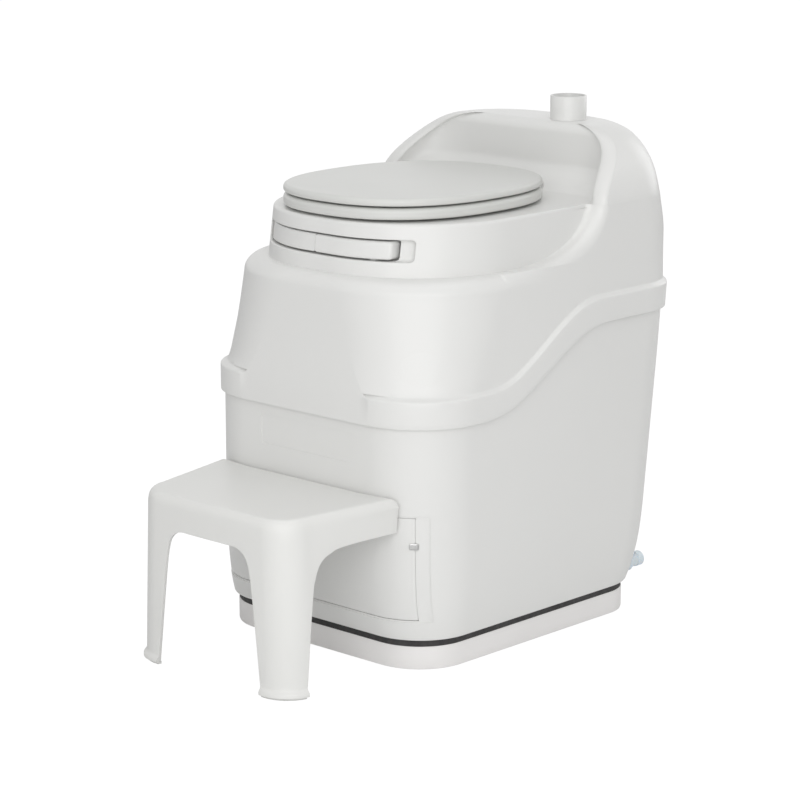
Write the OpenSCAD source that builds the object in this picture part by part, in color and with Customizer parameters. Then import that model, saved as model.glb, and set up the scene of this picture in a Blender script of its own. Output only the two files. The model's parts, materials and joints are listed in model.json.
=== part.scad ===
// Composting toilet with a step stool: a two-part moulded housing that holds a
// turning drum, a finishing drawer, an evaporation floor and a vent fan.
// The front faces -Y, the floor is z = 0, and the part is centred on its length.

/* [Overall] */
// Depth of the housing, from its front face to the back of its joint band
body_depth = 654; // [620:1:680]
// Distance from the stool's front edge to the housing's front face
stool_reach = 221; // [200:1:240]
// Width of the housing below the joint band
body_w = 502; // [494:1:520]
// Wall of the moulded shells
wall = 5; // [4:0.5:6]
// Gap between moulded parts that lie against each other
gap = 0.3; // [0.2:0.05:0.5]
// Radial clearance of a shaft in its bearing
fit = 0.05; // [0.02:0.01:0.1]

/* [Base] */
// Width of the base tray
tray_w = 464; // [450:1:470]
// Depth of the base tray
tray_l = 534; // [520:1:540]
// How far the base tray's front lies behind the housing's front face
tray_set = 20; // [18:1:26]
// Radius of the base tray's front corners
tray_r = 90; // [80:1:110]
// Radius of the base tray's rear corners
tray_rear_r = 72; // [60:1:80]
// Height of the base tray's side
tray_h = 38; // [34:1:38]
// Height of the dark seal above the base tray
seal_h = 12; // [12:1:16]

/* [Lower shell] */
// How far the housing's sides tuck in at the bottom
tuck_side = 12; // [8:1:14]
// How far the front tucks in at the bottom
tuck_front = 14; // [8:1:16]
// How far the rear tucks in at the bottom
tuck_rear = 12; // [8:1:16]
// Height over which the tuck fades out
tuck_h = 150; // [120:1:180]
// Lean of the back, per mm of height
back_lean = 0.12; // [0.1:0.002:0.13]
// Front corner radius of the lower shell
corner_r = 112; // [100:1:120]
// Rear corner radius of both shells
rear_r = 100; // [80:1:110]
// Height of the joint band's lower edge at the front
band_z = 391; // [385:1:396]
// Height of the joint band at the front
band_h = 44; // [38:1:46]
// How far the band climbs towards the rear
band_rise = 115; // [90:1:118]
// How far the band stands out
band_out = 7; // [6:0.5:8]

/* [Upper shell] */
// Height of the shoulder that the seat pedestal stands on
shoulder_z = 612; // [608:1:618]
// Height of the deck that carries the seat
deck_z = 694; // [690:1:700]
// Height of the console behind the seat
console_z = 803; // [790:1:815]
// Front corner radius of the upper shell at its shoulder
shoulder_r = 180; // [160:1:182]
// Width of the seat pedestal
pedestal_w = 442; // [430:1:444]
// Front corner radius of the seat pedestal
pedestal_r = 190; // [180:1:195]
// Thickness of the rims beside the console's recess
rim_t = 29; // [26:1:32]
// Radius of the console's top corners
console_r = 116; // [90:1:120]

/* [Seat] */
// Width of the seat and lid
seat_w = 362; // [356:1:368]
// Length of the seat and lid
seat_l = 425; // [420:1:428]
// Centre of the seat, behind the housing's front face
seat_set = 248; // [246:1:250]
// Thickness of the seat ring
ring_t = 18; // [17:0.5:20]
// Thickness of the lid
lid_t = 15; // [13:0.5:16]
// Height of the buffers under the ring
buffer_h = 4; // [3.5:0.5:5]
// Height of the buffers under the lid
lid_buffer_h = 3; // [2.5:0.5:4]
// Width of the opening in the ring
hole_w = 216; // [200:1:226]
// Length of the opening in the ring
hole_l = 262; // [250:1:268]
// Radius of the seat's hinge pins
pin_r = 4; // [3:0.5:4.5]

/* [Drum] */
// Height of the drum's axis
drum_z = 443; // [441:1:443]
// Outer radius of the drum
drum_r = 162; // [155:1:165]
// Length of the drum between its end plates
drum_l = 340; // [320:1:344]
// Wall of the drum
drum_t = 3; // [2.5:0.5:4]
// Teeth on the drum's gear
gear_teeth = 90; // [90:1:90]
// Teeth on the pinion
pinion_teeth = 15; // [15:1:15]
// Module of both gears
gear_m = 4; // [4:1:4]
// Thickness of the gears
gear_t = 14; // [10:1:15]
// Radius of the drum's stub shafts
stub_r = 20; // [16:1:22]
// Half angle of the port in the drum's wall
port_a = 26; // [20:1:28]
// Length of the port
port_l = 180; // [150:1:200]
// Radius of the crank's shaft
shaft_r = 9; // [8:0.5:10]
// Half width of the crank's pocket
pocket_x = 157; // [150:1:158]
// Height of the crank's pocket
pocket_h = 34; // [33:1:38]
// Depth of the crank's pocket
pocket_d = 30; // [28:1:31]

/* [Drawer] */
// Distance of the drawer's edges from the housing's sides
drawer_in = 41; // [39:1:45]
// Height of the drawer's lower edge
drawer_z = 84; // [84:1:86]
// Height of the drawer's front
drawer_h = 166; // [160:1:167]
// Length of the drawer's box
drawer_l = 400; // [340:1:420]
// Wall of the drawer's box
drawer_t = 3; // [2.5:0.5:4]

/* [Vent and drain] */
// Outer radius of the vent stub
vent_r = 30.15; // [28:0.05:32]
// Height of the vent stub above the console
vent_up = 40; // [30:1:60]
// Sideways place of the vent stub
vent_x = 57; // [50:1:64]
// Distance of the vent stub behind the housing's front face
vent_set = 564; // [560:1:568]
// Outer radius of the overflow drain stub
drain_r = 12.5; // [11:0.5:13]
// Reach of the drain stub behind the wall
drain_out = 31; // [30:1:36]
// Length of the wider end that the overflow hose goes over
drain_end = 12; // [10:1:12]

/* [Stool] */
// Width of the stool at its feet
stool_w = 350; // [340:1:354]
// Height of the stool
stool_h = 279; // [274:1:283]
// Corner radius of the stool's front corners
stool_r = 52; // [40:1:60]
// Wall of the stool
stool_t = 5; // [4:0.5:6]
// Height of the stool's apron
apron_h = 54; // [48:1:60]
// Thickness of the pads under the stool's feet
pad_t = 4; // [3:0.5:6]

/* [Hidden] */
$fn = 64;
far = 600;

WHITE = [0.87, 0.87, 0.85];
PALE = [0.80, 0.80, 0.79];
DARK = [0.2, 0.2, 0.2];
STEEL = [0.7, 0.71, 0.72];
BLUE = [0.78, 0.82, 0.85];

// --- places along the length, from the housing's front face ---
front_y = stool_reach - (stool_reach + body_depth) / 2;
back_y = front_y + body_depth - band_out;
seal_z = tray_h + seal_h;
edge_z = shoulder_z - 25;
lean_top = band_z + band_h + band_rise - 2;
gear_y = front_y + 102;

function clamp(v, lo, hi) = min(max(v, lo), hi);
function mix(a, b, t) = a + (b - a) * t;
function smooth(t) = let(c = clamp(t, 0, 1)) c * c * (3 - 2 * c);

// --- housing outline as functions of height ---
// 1 at the housing's foot, fading to 0 where the sides run straight
function tuck(z) = pow(clamp((seal_z + tuck_h - z) / tuck_h, 0, 1), 3);
// 0 up to the band's top edge at the front, 1 at the shoulder
function rise(z) = clamp((z - band_z - band_h) / (edge_z - band_z - band_h), 0, 1);
function half_w(z) = body_w / 2 - tuck_side * tuck(z) - 2.5 * rise(z);
function face_y(z) = front_y + tuck_front * tuck(z) + 5 * rise(z);
function rear_y(z) = back_y - back_lean * max(lean_top - z, 0) - tuck_rear * tuck(z);
function corner(z) = corner_r - 17 * tuck(z) + (shoulder_r - corner_r) * pow(rise(z), 0.55);
// The front's middle part swells out to meet the band and fades above it
function swell(z) = z < band_z - 1 ? 0 : band_out * (1 - smooth((z - band_z) / 150));

// The band's edges climb in an S from the front to the rear
function band_lo(y) = band_z + band_rise * smooth((y - front_y - 144) / 286);
function band_hi(y) = band_z + band_h + (band_rise - 2) * smooth((y - front_y - 155) / 259);

// --- half outlines: [x, y] from the front centre round the right to the rear centre ---
F_AT = [0, 0.35, 0.7, 0.985];
nF = 4;
nC = 12;
nS = 4;
nN = 3;
nW = 4;
nO = 4;
nR = 6;
nB = 2;
nHalf = nF + nC + nS + nN + nW + nO + nR + nB;
nRing = 2 * nHalf;

function arc(cx, cy, rx, ry, a0, a1, n) =
    [for (i = [0:n - 1]) let(a = mix(a0, a1, i / n)) [cx + rx * cos(a), cy + ry * sin(a)]];
function seg(p, q, n) = [for (i = [0:n - 1]) p + (q - p) * i / n];
function rear_part(w, y0, yr, rr) = let(ry = min(rr, yr - y0 - 4)) concat(
    seg([w, y0], [w, yr - ry], nO),
    arc(w - rr, yr - ry, rr, ry, 0, 90, nR),
    seg([w - rr, yr], [0, yr], nB),
    [[0, yr]]);

// How far the console's front edge rolls back just under its top
function roll(z) = 18 - sqrt(324 - pow(clamp(z - console_z + 18, 0, 18), 2));
// Where the wing's front rim meets the side, and how it sweeps up and back
notch_n = 8;
wing_0 = front_y + 197;
wing_1 = front_y + 430;
wing_z = console_z - 61;
function wing_y(z) = let(t = clamp((wing_z - z) / (wing_z - shoulder_z), 0, 1))
    wing_0 + (wing_1 - wing_0) * pow(1 - pow(t, 2.8), 1 / 2.8)
    + 80 * smooth((z - console_z + 100) / 100) + roll(z);
// Length over which the rim's outer edge rounds off at a height
function rim_l(z) = 12 + wing_y(z + 18) - wing_y(z);
notch_w = rim_l(shoulder_z);

// Plain section of the housing; p stands out at the band, t goes inwards
function box_half(z, p, t, sw = 0) = let(w = half_w(z) + p - t, yf = face_y(z) - p + t,
    rf = corner(z) + p - t, yr = rear_y(z) + p - t, rr = rear_r + p - t,
    xs = w - rf, ym = face_y(z) - sw * swell(z) + t, q = arc(xs, yf + rf, rf, rf, -90, 0, nC)) concat(
    [for (f = F_AT) [xs * f, ym]],
    [for (i = [0:nC - 1]) [q[i][0], q[i][1] - (p > 0 ? 0 : sw * swell(z) * pow(max(1 - i / 5, 0), 2))]],
    seg([w, yf + rf], [w, wing_0 - notch_n], nS),
    seg([w, wing_0 - notch_n], [w, wing_0], nN),
    seg([w, wing_0], [w, wing_0 + notch_w], nW),
    rear_part(w, wing_0 + notch_w, yr, rr));

// The back leans in a little from the shoulder to the console's foot
function rear_up(z) = back_y - 14.5 * smooth((z - shoulder_z - 18) / 90);

// Section through the seat pedestal: narrow in front, wide behind
ped_y = front_y + 27;
function ped_w(z) = pedestal_w / 2 - 4 * (z - shoulder_z) / (deck_z - shoulder_z);
function ped_front(z) = ped_y + 9 * (z - shoulder_z) / (deck_z - shoulder_z);
function key_half(z, t) = let(wp = ped_w(z) - t, yf = ped_front(z) + t, rf = pedestal_r - t,
    w = half_w(edge_z) - t, yn = wing_y(z) + t, d = w - wp, dx = d * 0.35,
    ry = min(rf, yn - notch_n - yf - 4)) concat(
    [for (f = F_AT) [(wp - rf) * f, yf]],
    arc(wp - rf, yf + ry, rf, ry, -90, 0, nC),
    seg([wp, yf + ry], [wp, yn - notch_n], nS),
    arc(wp + dx, yn - notch_n, dx, notch_n, 180, 90, nN),
    arc(wp + dx, yn + rim_l(z), d - dx, rim_l(z), -90, 0, nW),
    rear_part(w, yn + rim_l(z), rear_up(z) - t, rear_r - t));

// Section through the console: a recess between two rims
console_0 = front_y + 487;
function con_w(z) = let(c = clamp(z - (console_z - console_r), 0, console_r))
    half_w(edge_z) - console_r + sqrt(console_r * console_r - c * c);
top_r = 18;
function con_rear(z) = let(c = clamp(z - (console_z - top_r), 0, top_r))
    rear_up(z) - top_r + sqrt(top_r * top_r - c * c);
function recess_y(z) = console_0 + 32 * smooth((z - deck_z) / 42) + roll(z);
function con_half(z, t) = let(w = con_w(z) - t, wi = con_w(z) - rim_t + t,
    yc = recess_y(z) + t, yn = wing_y(z) + t, xf = min(120, wi - 40),
    ye = yn + notch_n, d = w - wi, dx = d * 0.35) concat(
    [for (f = F_AT) [xf * f, yc]],
    arc(xf, ye, wi - xf, yc - ye, 90, 0, nC + nS),
    arc(wi + dx, ye, dx, notch_n, 180, 270, nN),
    arc(wi + dx, yn + 12, d - dx, 12, -90, 0, nW),
    rear_part(w, yn + 12, con_rear(z) - t, rear_r - t));

// --- rings of [x, y, z] and the skin between them ---
function whole(h, zs) = concat(
    [for (i = [0:nHalf]) [h[i][0], h[i][1], zs[i]]],
    [for (i = [nHalf - 1:-1:1]) [-h[i][0], h[i][1], zs[i]]]);
function level(h, z) = whole(h, [for (p = h) z]);
// A ring whose height follows the band
function along(zs, p, t, sw = 1) = whole([for (i = [0:nHalf]) box_half(zs[i], p, t, sw)[i]], zs);
ref_half = box_half(band_z + 60, 0, 0);
lo_zs = [for (q = ref_half) band_lo(q[1])];
hi_zs = [for (q = ref_half) band_hi(q[1])];
function shift(zs, d) = [for (z = zs) z + d];
function towards(zs, z1, f) = [for (z = zs) mix(z, z1, f)];

function skin(k, n, wrap) = [for (j = [0:(wrap ? k - 1 : k - 2)], i = [0:n - 1])
    let(a = j * n + i, b = j * n + (i + 1) % n, c = ((j + 1) % k) * n + i,
        d = ((j + 1) % k) * n + (i + 1) % n)
    each [[a, c, b], [b, c, d]]];
module loft(rings, wrap) {
    k = len(rings);
    n = len(rings[0]);
    caps = wrap ? [] : [[for (i = [0:n - 1]) i], [for (i = [n - 1:-1:0]) (k - 1) * n + i]];
    polyhedron(points = [for (r = rings) each r], faces = concat(skin(k, n, wrap), caps));
}

// Wall segment of the plain housing between two depths, over the given heights
module box_slab(zs, t0, t1) {
    loft(concat([for (i = [len(zs) - 1:-1:0]) level(box_half(zs[i], 0, t1), zs[i])],
        [for (z = zs) level(box_half(z, 0, t0), z)]), true);
}
// Wall segment of the pedestal between two depths
module key_slab(z0, z1, t0, t1) {
    loft([level(key_half(z1, t1), z1), level(key_half(z0, t1), z0),
        level(key_half(z0, t0), z0), level(key_half(z1, t0), z1)], true);
}
// Box given by its two corners
module block(a, b) {
    translate(a) cube(b - a);
}
module tube(r1, r0, h) {
    difference() {
        cylinder(r = r1, h = h);
        translate([0, 0, -1]) cylinder(r = r0, h = h + 2);
    }
}
// Turns a shape drawn upwards from z = 0 so that it runs along +Y
module along_y(x, y, z) {
    translate([x, y, z]) rotate([-90, 0, 0]) children();
}
// Plan of a base part: front corners of radius r, rear corners of radius b
module plan(w, l, r, b) {
    translate([-w / 2 + r, 0]) square([w - 2 * r, l / 2]);
    translate([-w / 2 + b, l / 2]) square([w - 2 * b, l / 2]);
    translate([-w / 2, r]) square([w, l - r - b]);
    for (x = [-w / 2 + r, w / 2 - r]) translate([x, r]) circle(r = r);
    for (x = [-w / 2 + b, w / 2 - b]) translate([x, l - b]) circle(r = b);
}

// ---------------------------------------------------------------- base
tray_y = front_y + tray_set;
module base_tray() {
    t = 4;
    color(PALE) translate([0, tray_y, 0]) difference() {
        linear_extrude(tray_h) plan(tray_w, tray_l, tray_r, tray_rear_r);
        translate([0, t, t]) linear_extrude(tray_h)
            plan(tray_w - 2 * t, tray_l - 2 * t, tray_r - t, tray_rear_r - t);
    }
}
module base_seal() {
    t = 12;
    color(DARK) translate([0, tray_y + 1, tray_h]) difference() {
        linear_extrude(seal_h) plan(tray_w - 2, tray_l - 2, tray_r - 1, tray_rear_r - 1);
        translate([0, t, -1]) linear_extrude(seal_h + 2)
            plan(tray_w - 2 - 2 * t, tray_l - 2 - 2 * t, tray_r - 1 - t, tray_rear_r - 1 - t);
    }
}

// ---------------------------------------------------------------- lower shell
low_zs = [seal_z, drawer_z, 110, 145, 200];
foot_in = 24;
foot_t = 5;
drawer_x = body_w / 2 - drawer_in;
drawer_top = drawer_z + drawer_h;
hook_x = 60;
hook_w = 32;
hook_t = 5;
hook_z = stool_h - 12;
drain_x = body_w / 2 - 41;
drain_z = 72;
drain_y = front_y + 549;
gland_x = -150;
gland_z = 172;
gland_r = 9;
module lower_body() {
    top = shift(hi_zs, -wall - gap);
    inner = [for (z = [200, 145, 110, drawer_z]) level(box_half(z, 0, wall), z)];
    loft(concat(
        [along(top, 0, wall, 0)], inner,
        [level(box_half(seal_z + foot_t, 0, wall), seal_z + foot_t)],
        [level(box_half(seal_z + foot_t, 0, foot_in), seal_z + foot_t - 0.01)],
        [level(box_half(seal_z, 0, foot_in), seal_z)],
        [for (z = low_zs) level(box_half(z, 0, 0), z)],
        [along(towards(lo_zs, 200, 0.15), 0, 0, 0), along(top, 0, 0, 0)]), true);
}
// Frame of the cord gland: its +Z runs into the housing, square to the back
module at_gland() {
    y0 = rear_y(145);
    y1 = rear_y(200);
    translate([gland_x, mix(y0, y1, (gland_z - 145) / 55), gland_z])
        rotate([90 - atan((y1 - y0) / 55), 0, 0]) children();
}
module lower_shell() {
    color(WHITE) difference() {
        lower_body();
        // opening for the drawer's front and the shallow border round it
        block([-drawer_x - gap, front_y - 20, drawer_z - gap],
            [drawer_x + gap, front_y + 80, drawer_top + gap]);
        intersection() {
            box_slab([drawer_z - 4, 110, 145, 200, drawer_top + 4], -3, 1.5);
            block([-drawer_x - 17, front_y - 20, drawer_z - 3],
                [drawer_x + 17, front_y + 90, drawer_top + 3]);
        }
        // bare field for a label
        block([-101, front_y - 20, 324], [101, front_y + 1.2, 372]);
        // slots for the stool's hooks
        for (x = [-hook_x, hook_x])
            block([x - hook_w / 2 - gap, front_y - 5, hook_z - hook_t - gap],
                [x + hook_w / 2 + gap, front_y + 20, hook_z + gap]);
        along_y(drain_x, drain_y - 40, drain_z) cylinder(r = drain_r + 3 + gap, h = 80);
        at_gland() translate([0, 0, -30]) cylinder(r = gland_r + gap, h = 60);
    }
}

// ---------------------------------------------------------------- upper shell
ped_zs = [shoulder_z + 4, shoulder_z + 10, shoulder_z + 20, shoulder_z + 38, 676, deck_z];
con_zs = [deck_z, deck_z + 9, deck_z + 21, deck_z + 38, deck_z + 54, console_z - 33,
    console_z - 20, console_z - 9, console_z - 2.5, console_z];
con_in_zs = [deck_z, deck_z + 21, deck_z + 42, console_z - 33, console_z - 15, console_z];
function shoulder(a, t) = let(b = box_half(edge_z, 0, t), k = key_half(shoulder_z, t))
    level([for (i = [0:nHalf]) mix(b[i], k[i], 1 - cos(a))],
        edge_z + (shoulder_z - t - edge_z) * sin(a));
module upper_body() {
    loft(concat(
        [for (i = [len(con_in_zs) - 1:-1:0])
            level(con_half(con_in_zs[i], wall), con_in_zs[i] - wall)],
        [level(key_half(deck_z, wall), deck_z - wall - 0.01)],
        [for (z = [shoulder_z + 38, shoulder_z + 15, shoulder_z + 5]) level(key_half(z, wall), z)],
        [for (a = [90, 50, 0]) shoulder(a, wall)],
        [along(shift(hi_zs, -wall + 2), 0, wall), along(shift(hi_zs, -wall), band_out, wall)],
        [along(lo_zs, band_out, wall), along(lo_zs, band_out, 0)],
        [along(shift(hi_zs, -3), band_out, 0), along(hi_zs, band_out - 3, 0)],
        [along(shift(hi_zs, 5), 0, 0), along(towards(shift(hi_zs, 5), edge_z, 0.5), 0, 0)],
        [for (a = [0, 22.5, 45, 67.5, 90]) shoulder(a, 0)],
        [for (z = ped_zs) level(key_half(z, 0), z)],
        [level(con_half(deck_z, 0), deck_z + 0.01)],
        [for (i = [1:len(con_zs) - 1]) level(con_half(con_zs[i], 0), con_zs[i])]), false);
}
crank_z = drum_z + (gear_teeth + pinion_teeth) * gear_m / 2;
pocket_z0 = crank_z - pocket_h / 2;
pocket_z1 = crank_z + pocket_h / 2;
seat_y = front_y + seat_set;
vent_y = front_y + vent_set;
vent_neck_r = vent_r - 0.6;
module pocket_space(grow, t0, t1) {
    intersection() {
        key_slab(pocket_z0 - grow, pocket_z1 + grow, t0, t1);
        block([-pocket_x - grow, front_y - 10, 0], [pocket_x + grow, front_y + 215, 900]);
    }
}
chute_w = 216;
chute_l = 256;
chute_y = gear_y + 22 + chute_l / 2;
hinge_y = seat_y + seat_l / 2 - 8;
post_x = 70;
module upper_shell() {
    color(WHITE) difference() {
        upper_body();
        pocket_space(0, -4, wall + 4);
        translate([0, chute_y, deck_z - 20]) linear_extrude(40) oval(chute_w, chute_l, 0);
        translate([vent_x, vent_y, console_z - 60]) cylinder(r = vent_neck_r + gap, h = 80);
        for (x = [-post_x, post_x])
            translate([x, hinge_y, deck_z - 20]) cylinder(r = 4 + gap, h = 40);
    }
}

// ---------------------------------------------------------------- seat
// Superellipse outline of the seat's parts, d goes inwards
nSeat = 60;
function sgn_pow(v, e) = sign(v) * pow(abs(v), e);
function oval_pts(w, l, d) = [for (i = [0:nSeat - 1]) let(a = -90 + 360 * i / nSeat)
    [(w / 2 - d) * sgn_pow(cos(a), 1 / 1.2), (l / 2 - d) * sgn_pow(sin(a), 1 / 1.2)]];
module oval(w, l, d) {
    polygon(oval_pts(w, l, d));
}
function oval_ring(w, l, d, z) = [for (p = oval_pts(w, l, d)) [p[0], p[1] + seat_y, z]];
ring_z0 = deck_z + buffer_h;
ring_z1 = ring_z0 + ring_t;
lid_z0 = ring_z1 + lid_buffer_h;
hinge_z = ring_z0 + 10;
lug_r = 8;
// The barrel of a hinge lug and the web that ties it to its part
module lug(x0, x1, z1, l) {
    translate([x0, hinge_y, hinge_z]) rotate([0, 90, 0]) cylinder(r = lug_r, h = x1 - x0);
    block([x0, hinge_y - l, hinge_z - 2], [x1, hinge_y, z1]);
}
module bores(r) {
    translate([-120, hinge_y, hinge_z]) rotate([0, 90, 0]) cylinder(r = r, h = 240);
}
module seat_ring() {
    color(WHITE) difference() {
        union() {
            difference() {
                loft([oval_ring(hole_w, hole_l, 0, ring_z0), oval_ring(seat_w, seat_l, 4, ring_z0),
                    oval_ring(seat_w, seat_l, 0, ring_z0 + 5), oval_ring(seat_w, seat_l, 0, ring_z1 - 6),
                    oval_ring(seat_w, seat_l, 5, ring_z1), oval_ring(hole_w, hole_l, -6, ring_z1),
                    oval_ring(hole_w, hole_l, 0, ring_z1 - 6)], true);
                for (s = [-1, 1])
                    translate([s * 78, 0, 0]) block([-33, hinge_y - 16, 0], [33, far, 900]);
            }
            lug(46, 61, ring_z1, 24);
            lug(-61, -46, ring_z1, 24);
        }
        bores(pin_r + fit);
    }
}
module seat_lid() {
    w = seat_w;
    l = seat_l;
    color(WHITE) loft([oval_ring(w, l, 3, lid_z0), oval_ring(w, l, 0, lid_z0 + 3),
        oval_ring(w, l, 0, lid_z0 + lid_t - 8), oval_ring(w, l, 3, lid_z0 + lid_t - 4),
        oval_ring(w, l, 12, lid_z0 + lid_t - 1.5), oval_ring(w, l, 40, lid_z0 + lid_t - 0.5),
        oval_ring(w, l, 110, lid_z0 + lid_t)], false);
}
module lid_hinge_arms() {
    color(WHITE) difference() {
        for (s = [0, 1]) mirror([s, 0, 0]) lug(79, 94, lid_z0 - 0.1, 15.7);
        bores(pin_r + fit);
    }
}
module seat_buffers() {
    color(PALE) for (x = [-120, 120], y = [-120, 95])
        translate([x, seat_y + y, deck_z + gap]) cylinder(r = 9, h = buffer_h - gap);
}
module lid_buffers() {
    color(PALE) for (x = [-132, 132], y = [-95, 75])
        translate([x, seat_y + y, ring_z1 + gap]) cylinder(r = 8, h = lid_buffer_h - gap);
}
module seat_hinge_posts() {
    color(WHITE) difference() {
        for (x = [-post_x, post_x]) {
            block([x - 8, hinge_y - 10, deck_z + 0.1], [x + 8, hinge_y + 9, hinge_z]);
            translate([x - 8, hinge_y, hinge_z]) rotate([0, 90, 0]) cylinder(r = 9, h = 16);
            translate([x, hinge_y, deck_z - wall - 14]) cylinder(r = 4, h = 20);
        }
        bores(pin_r + fit);
    }
}
module seat_nuts() {
    color(PALE) for (x = [-post_x, post_x])
        translate([x, hinge_y, deck_z - wall - 9 - gap]) tube(10, 4 + 0.1, 9);
}
module seat_hinge_pins() {
    color(STEEL) for (s = [-1, 1])
        translate([s > 0 ? 45 : -95, hinge_y, hinge_z]) rotate([0, 90, 0]) cylinder(r = pin_r, h = 50);
}
module bowl_liner() {
    z0 = drum_z + drum_r + 9;
    t = 2.5;
    c = gap + t;
    color(PALE) translate([0, chute_y - seat_y, 0]) loft([
        oval_ring(chute_w, chute_l, c, deck_z + 1.6), oval_ring(chute_w, chute_l, c + 2, deck_z - 20),
        oval_ring(chute_w, chute_l, 22, z0), oval_ring(chute_w, chute_l, 22 - t, z0),
        oval_ring(chute_w, chute_l, c + 2 - t, deck_z - 20), oval_ring(chute_w, chute_l, gap, deck_z + gap),
        oval_ring(chute_w, chute_l, -5, deck_z + gap), oval_ring(chute_w, chute_l, -5, deck_z + 1.6)], true);
}

// ---------------------------------------------------------------- drum and its drive
drum_y0 = gear_y + gear_t + 6;
drum_y1 = drum_y0 + drum_l;
plate_t = 6;
plate_f = gear_y - 4 - plate_t;
plate_r = drum_y1 + 4 + 5;
// A tooth with straight flanks, a little thinner than the gaps
function tooth(z, k, turn) = let(r = gear_m * z / 2, s = 360 / z, a = s * k + turn,
    ra = r + 0.8 * gear_m, rd = r - 1.1 * gear_m, h = gear_m * 180 / (PI * r))
    [[rd, a - h * 0.95], [r, a - h * 0.64], [ra, a - h * 0.34],
     [ra, a + h * 0.34], [r, a + h * 0.64], [rd, a + h * 0.95]];
// Gear outline; turn is the angle of a tooth
module gear2d(z, turn) {
    polygon([for (k = [0:z - 1]) each [for (q = tooth(z, k, turn)) [q[0] * cos(q[1]), q[0] * sin(q[1])]]]);
}
module drum_shell() {
    color(PALE) difference() {
        along_y(0, drum_y0, drum_z) tube(drum_r, drum_r - drum_t, drum_l);
        along_y(0, drum_y0 + (drum_l - port_l) / 2, drum_z)
            rotate([0, 0, -90 - port_a]) rotate_extrude(angle = 2 * port_a)
                translate([drum_r - 10, 0]) square([20, port_l]);
    }
}
module drum_door() {
    g = 0.4;
    a = port_a - 0.2;
    y0 = drum_y0 + (drum_l - port_l) / 2 + g;
    color(WHITE) {
        along_y(0, y0, drum_z) rotate([0, 0, -90 - a]) rotate_extrude(angle = 2 * a)
            translate([drum_r - drum_t, 0]) square([drum_t, port_l - 2 * g]);
        for (y = [30, port_l - 50]) door_lug(y0 + y, 20);
    }
}
door_px = (drum_r - 9) * sin(port_a - 1);
door_pz = drum_z + (drum_r - 9) * cos(port_a - 1);
module door_lug(y, l) {
    translate([door_px, y, door_pz]) rotate([-90, port_a - 8, 0]) linear_extrude(l) difference() {
        union() {
            circle(r = 5.5);
            translate([-9, -7.2]) square([9, 7.2]);
        }
        circle(r = 3 + fit);
    }
}
module drum_door_pin() {
    y0 = drum_y0 + (drum_l - port_l) / 2;
    color(STEEL) {
        translate([door_px, y0 + 2, door_pz]) rotate([-90, 0, 0]) cylinder(r = 3, h = port_l - 4);
        for (y = [4, port_l - 12]) translate([door_px, y0 + y, door_pz])
            rotate([0, port_a + 6, 0]) block([-2.2, 0, -2.2], [6, 8, 5.6]);
    }
}
module drum_front_end() {
    color(PALE) {
        along_y(0, drum_y0 - 4, drum_z) cylinder(r = drum_r, h = 4 - 0.1);
        along_y(0, plate_f - 4, drum_z) cylinder(r = stub_r, h = drum_y0 - plate_f);
        along_y(0, drum_y0 - 1, drum_z) tube(drum_r - drum_t - 0.1, drum_r - drum_t - 4, 9);
    }
}
module drum_rear_end() {
    color(PALE) difference() {
        union() {
            along_y(0, drum_y1 + 0.1, drum_z) cylinder(r = drum_r, h = 4 - 0.1);
            along_y(0, drum_y1, drum_z) cylinder(r = stub_r, h = plate_r + plate_t + 4 - drum_y1);
            along_y(0, drum_y1 - 8, drum_z) tube(drum_r - drum_t - 0.1, drum_r - drum_t - 4, 9);
        }
        // screened air holes round the plate
        for (a = [0:30:330]) along_y(110 * cos(a), drum_y1 - 1, drum_z + 110 * sin(a))
            cylinder(r = 12, h = 8);
    }
}
module drum_gear() {
    color(STEEL) along_y(0, gear_y, drum_z) difference() {
        union() {
            linear_extrude(gear_t) gear2d(gear_teeth, 90 + 180 / gear_teeth);
            cylinder(r = 48, h = drum_y0 - 4 - gear_y - 0.1);
        }
        translate([0, 0, -1]) cylinder(r = stub_r + 0.1, h = 40);
        for (a = [22.5:45:360]) rotate([0, 0, a]) translate([110, 0, -1]) cylinder(r = 34, h = 40);
    }
}
module mixing_bars() {
    color(STEEL) for (x = [-80, 80])
        along_y(x, drum_y0 + 0.2, drum_z - 95) cylinder(r = 5, h = drum_l - 0.4);
}
module drive_pinion() {
    color(STEEL) along_y(0, gear_y, crank_z) difference() {
        linear_extrude(gear_t) gear2d(pinion_teeth, 90);
        translate([0, 0, -1]) cylinder(r = shaft_r + 0.02, h = 40);
    }
}
socket_y = ped_front(crank_z) + pocket_d - 1;
module drive_shaft() {
    color(STEEL) along_y(0, socket_y + 16, crank_z)
        cylinder(r = shaft_r, h = gear_y + gear_t + 2 - socket_y - 16);
}
module drive_socket() {
    color(STEEL) difference() {
        along_y(0, socket_y, crank_z) cylinder(r = 15, h = 22);
        along_y(0, socket_y + 16 - 0.02, crank_z) cylinder(r = shaft_r + 0.02, h = 22);
        block([-6, socket_y - 1, crank_z - 6], [6, socket_y + 13, crank_z + 6]);
    }
}
module flanged_bush(y, z, r, ro, l) {
    along_y(0, y, z) tube(ro, r + fit, l);
    along_y(0, y - 3, z) tube(ro + 6, r + fit, 3);
}
module drive_bushing() {
    color(DARK) flanged_bush(plate_f - 0.1, crank_z, shaft_r, shaft_r + 5, plate_t + 0.1);
}
module drum_bearings() {
    color(DARK) {
        flanged_bush(plate_f - 0.1, drum_z, stub_r, stub_r + 6, plate_t + 0.1);
        translate([0, 2 * plate_r + plate_t, 0]) mirror([0, 1, 0])
            flanged_bush(plate_r - 0.1, drum_z, stub_r, stub_r + 6, plate_t + 0.1);
    }
}
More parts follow.
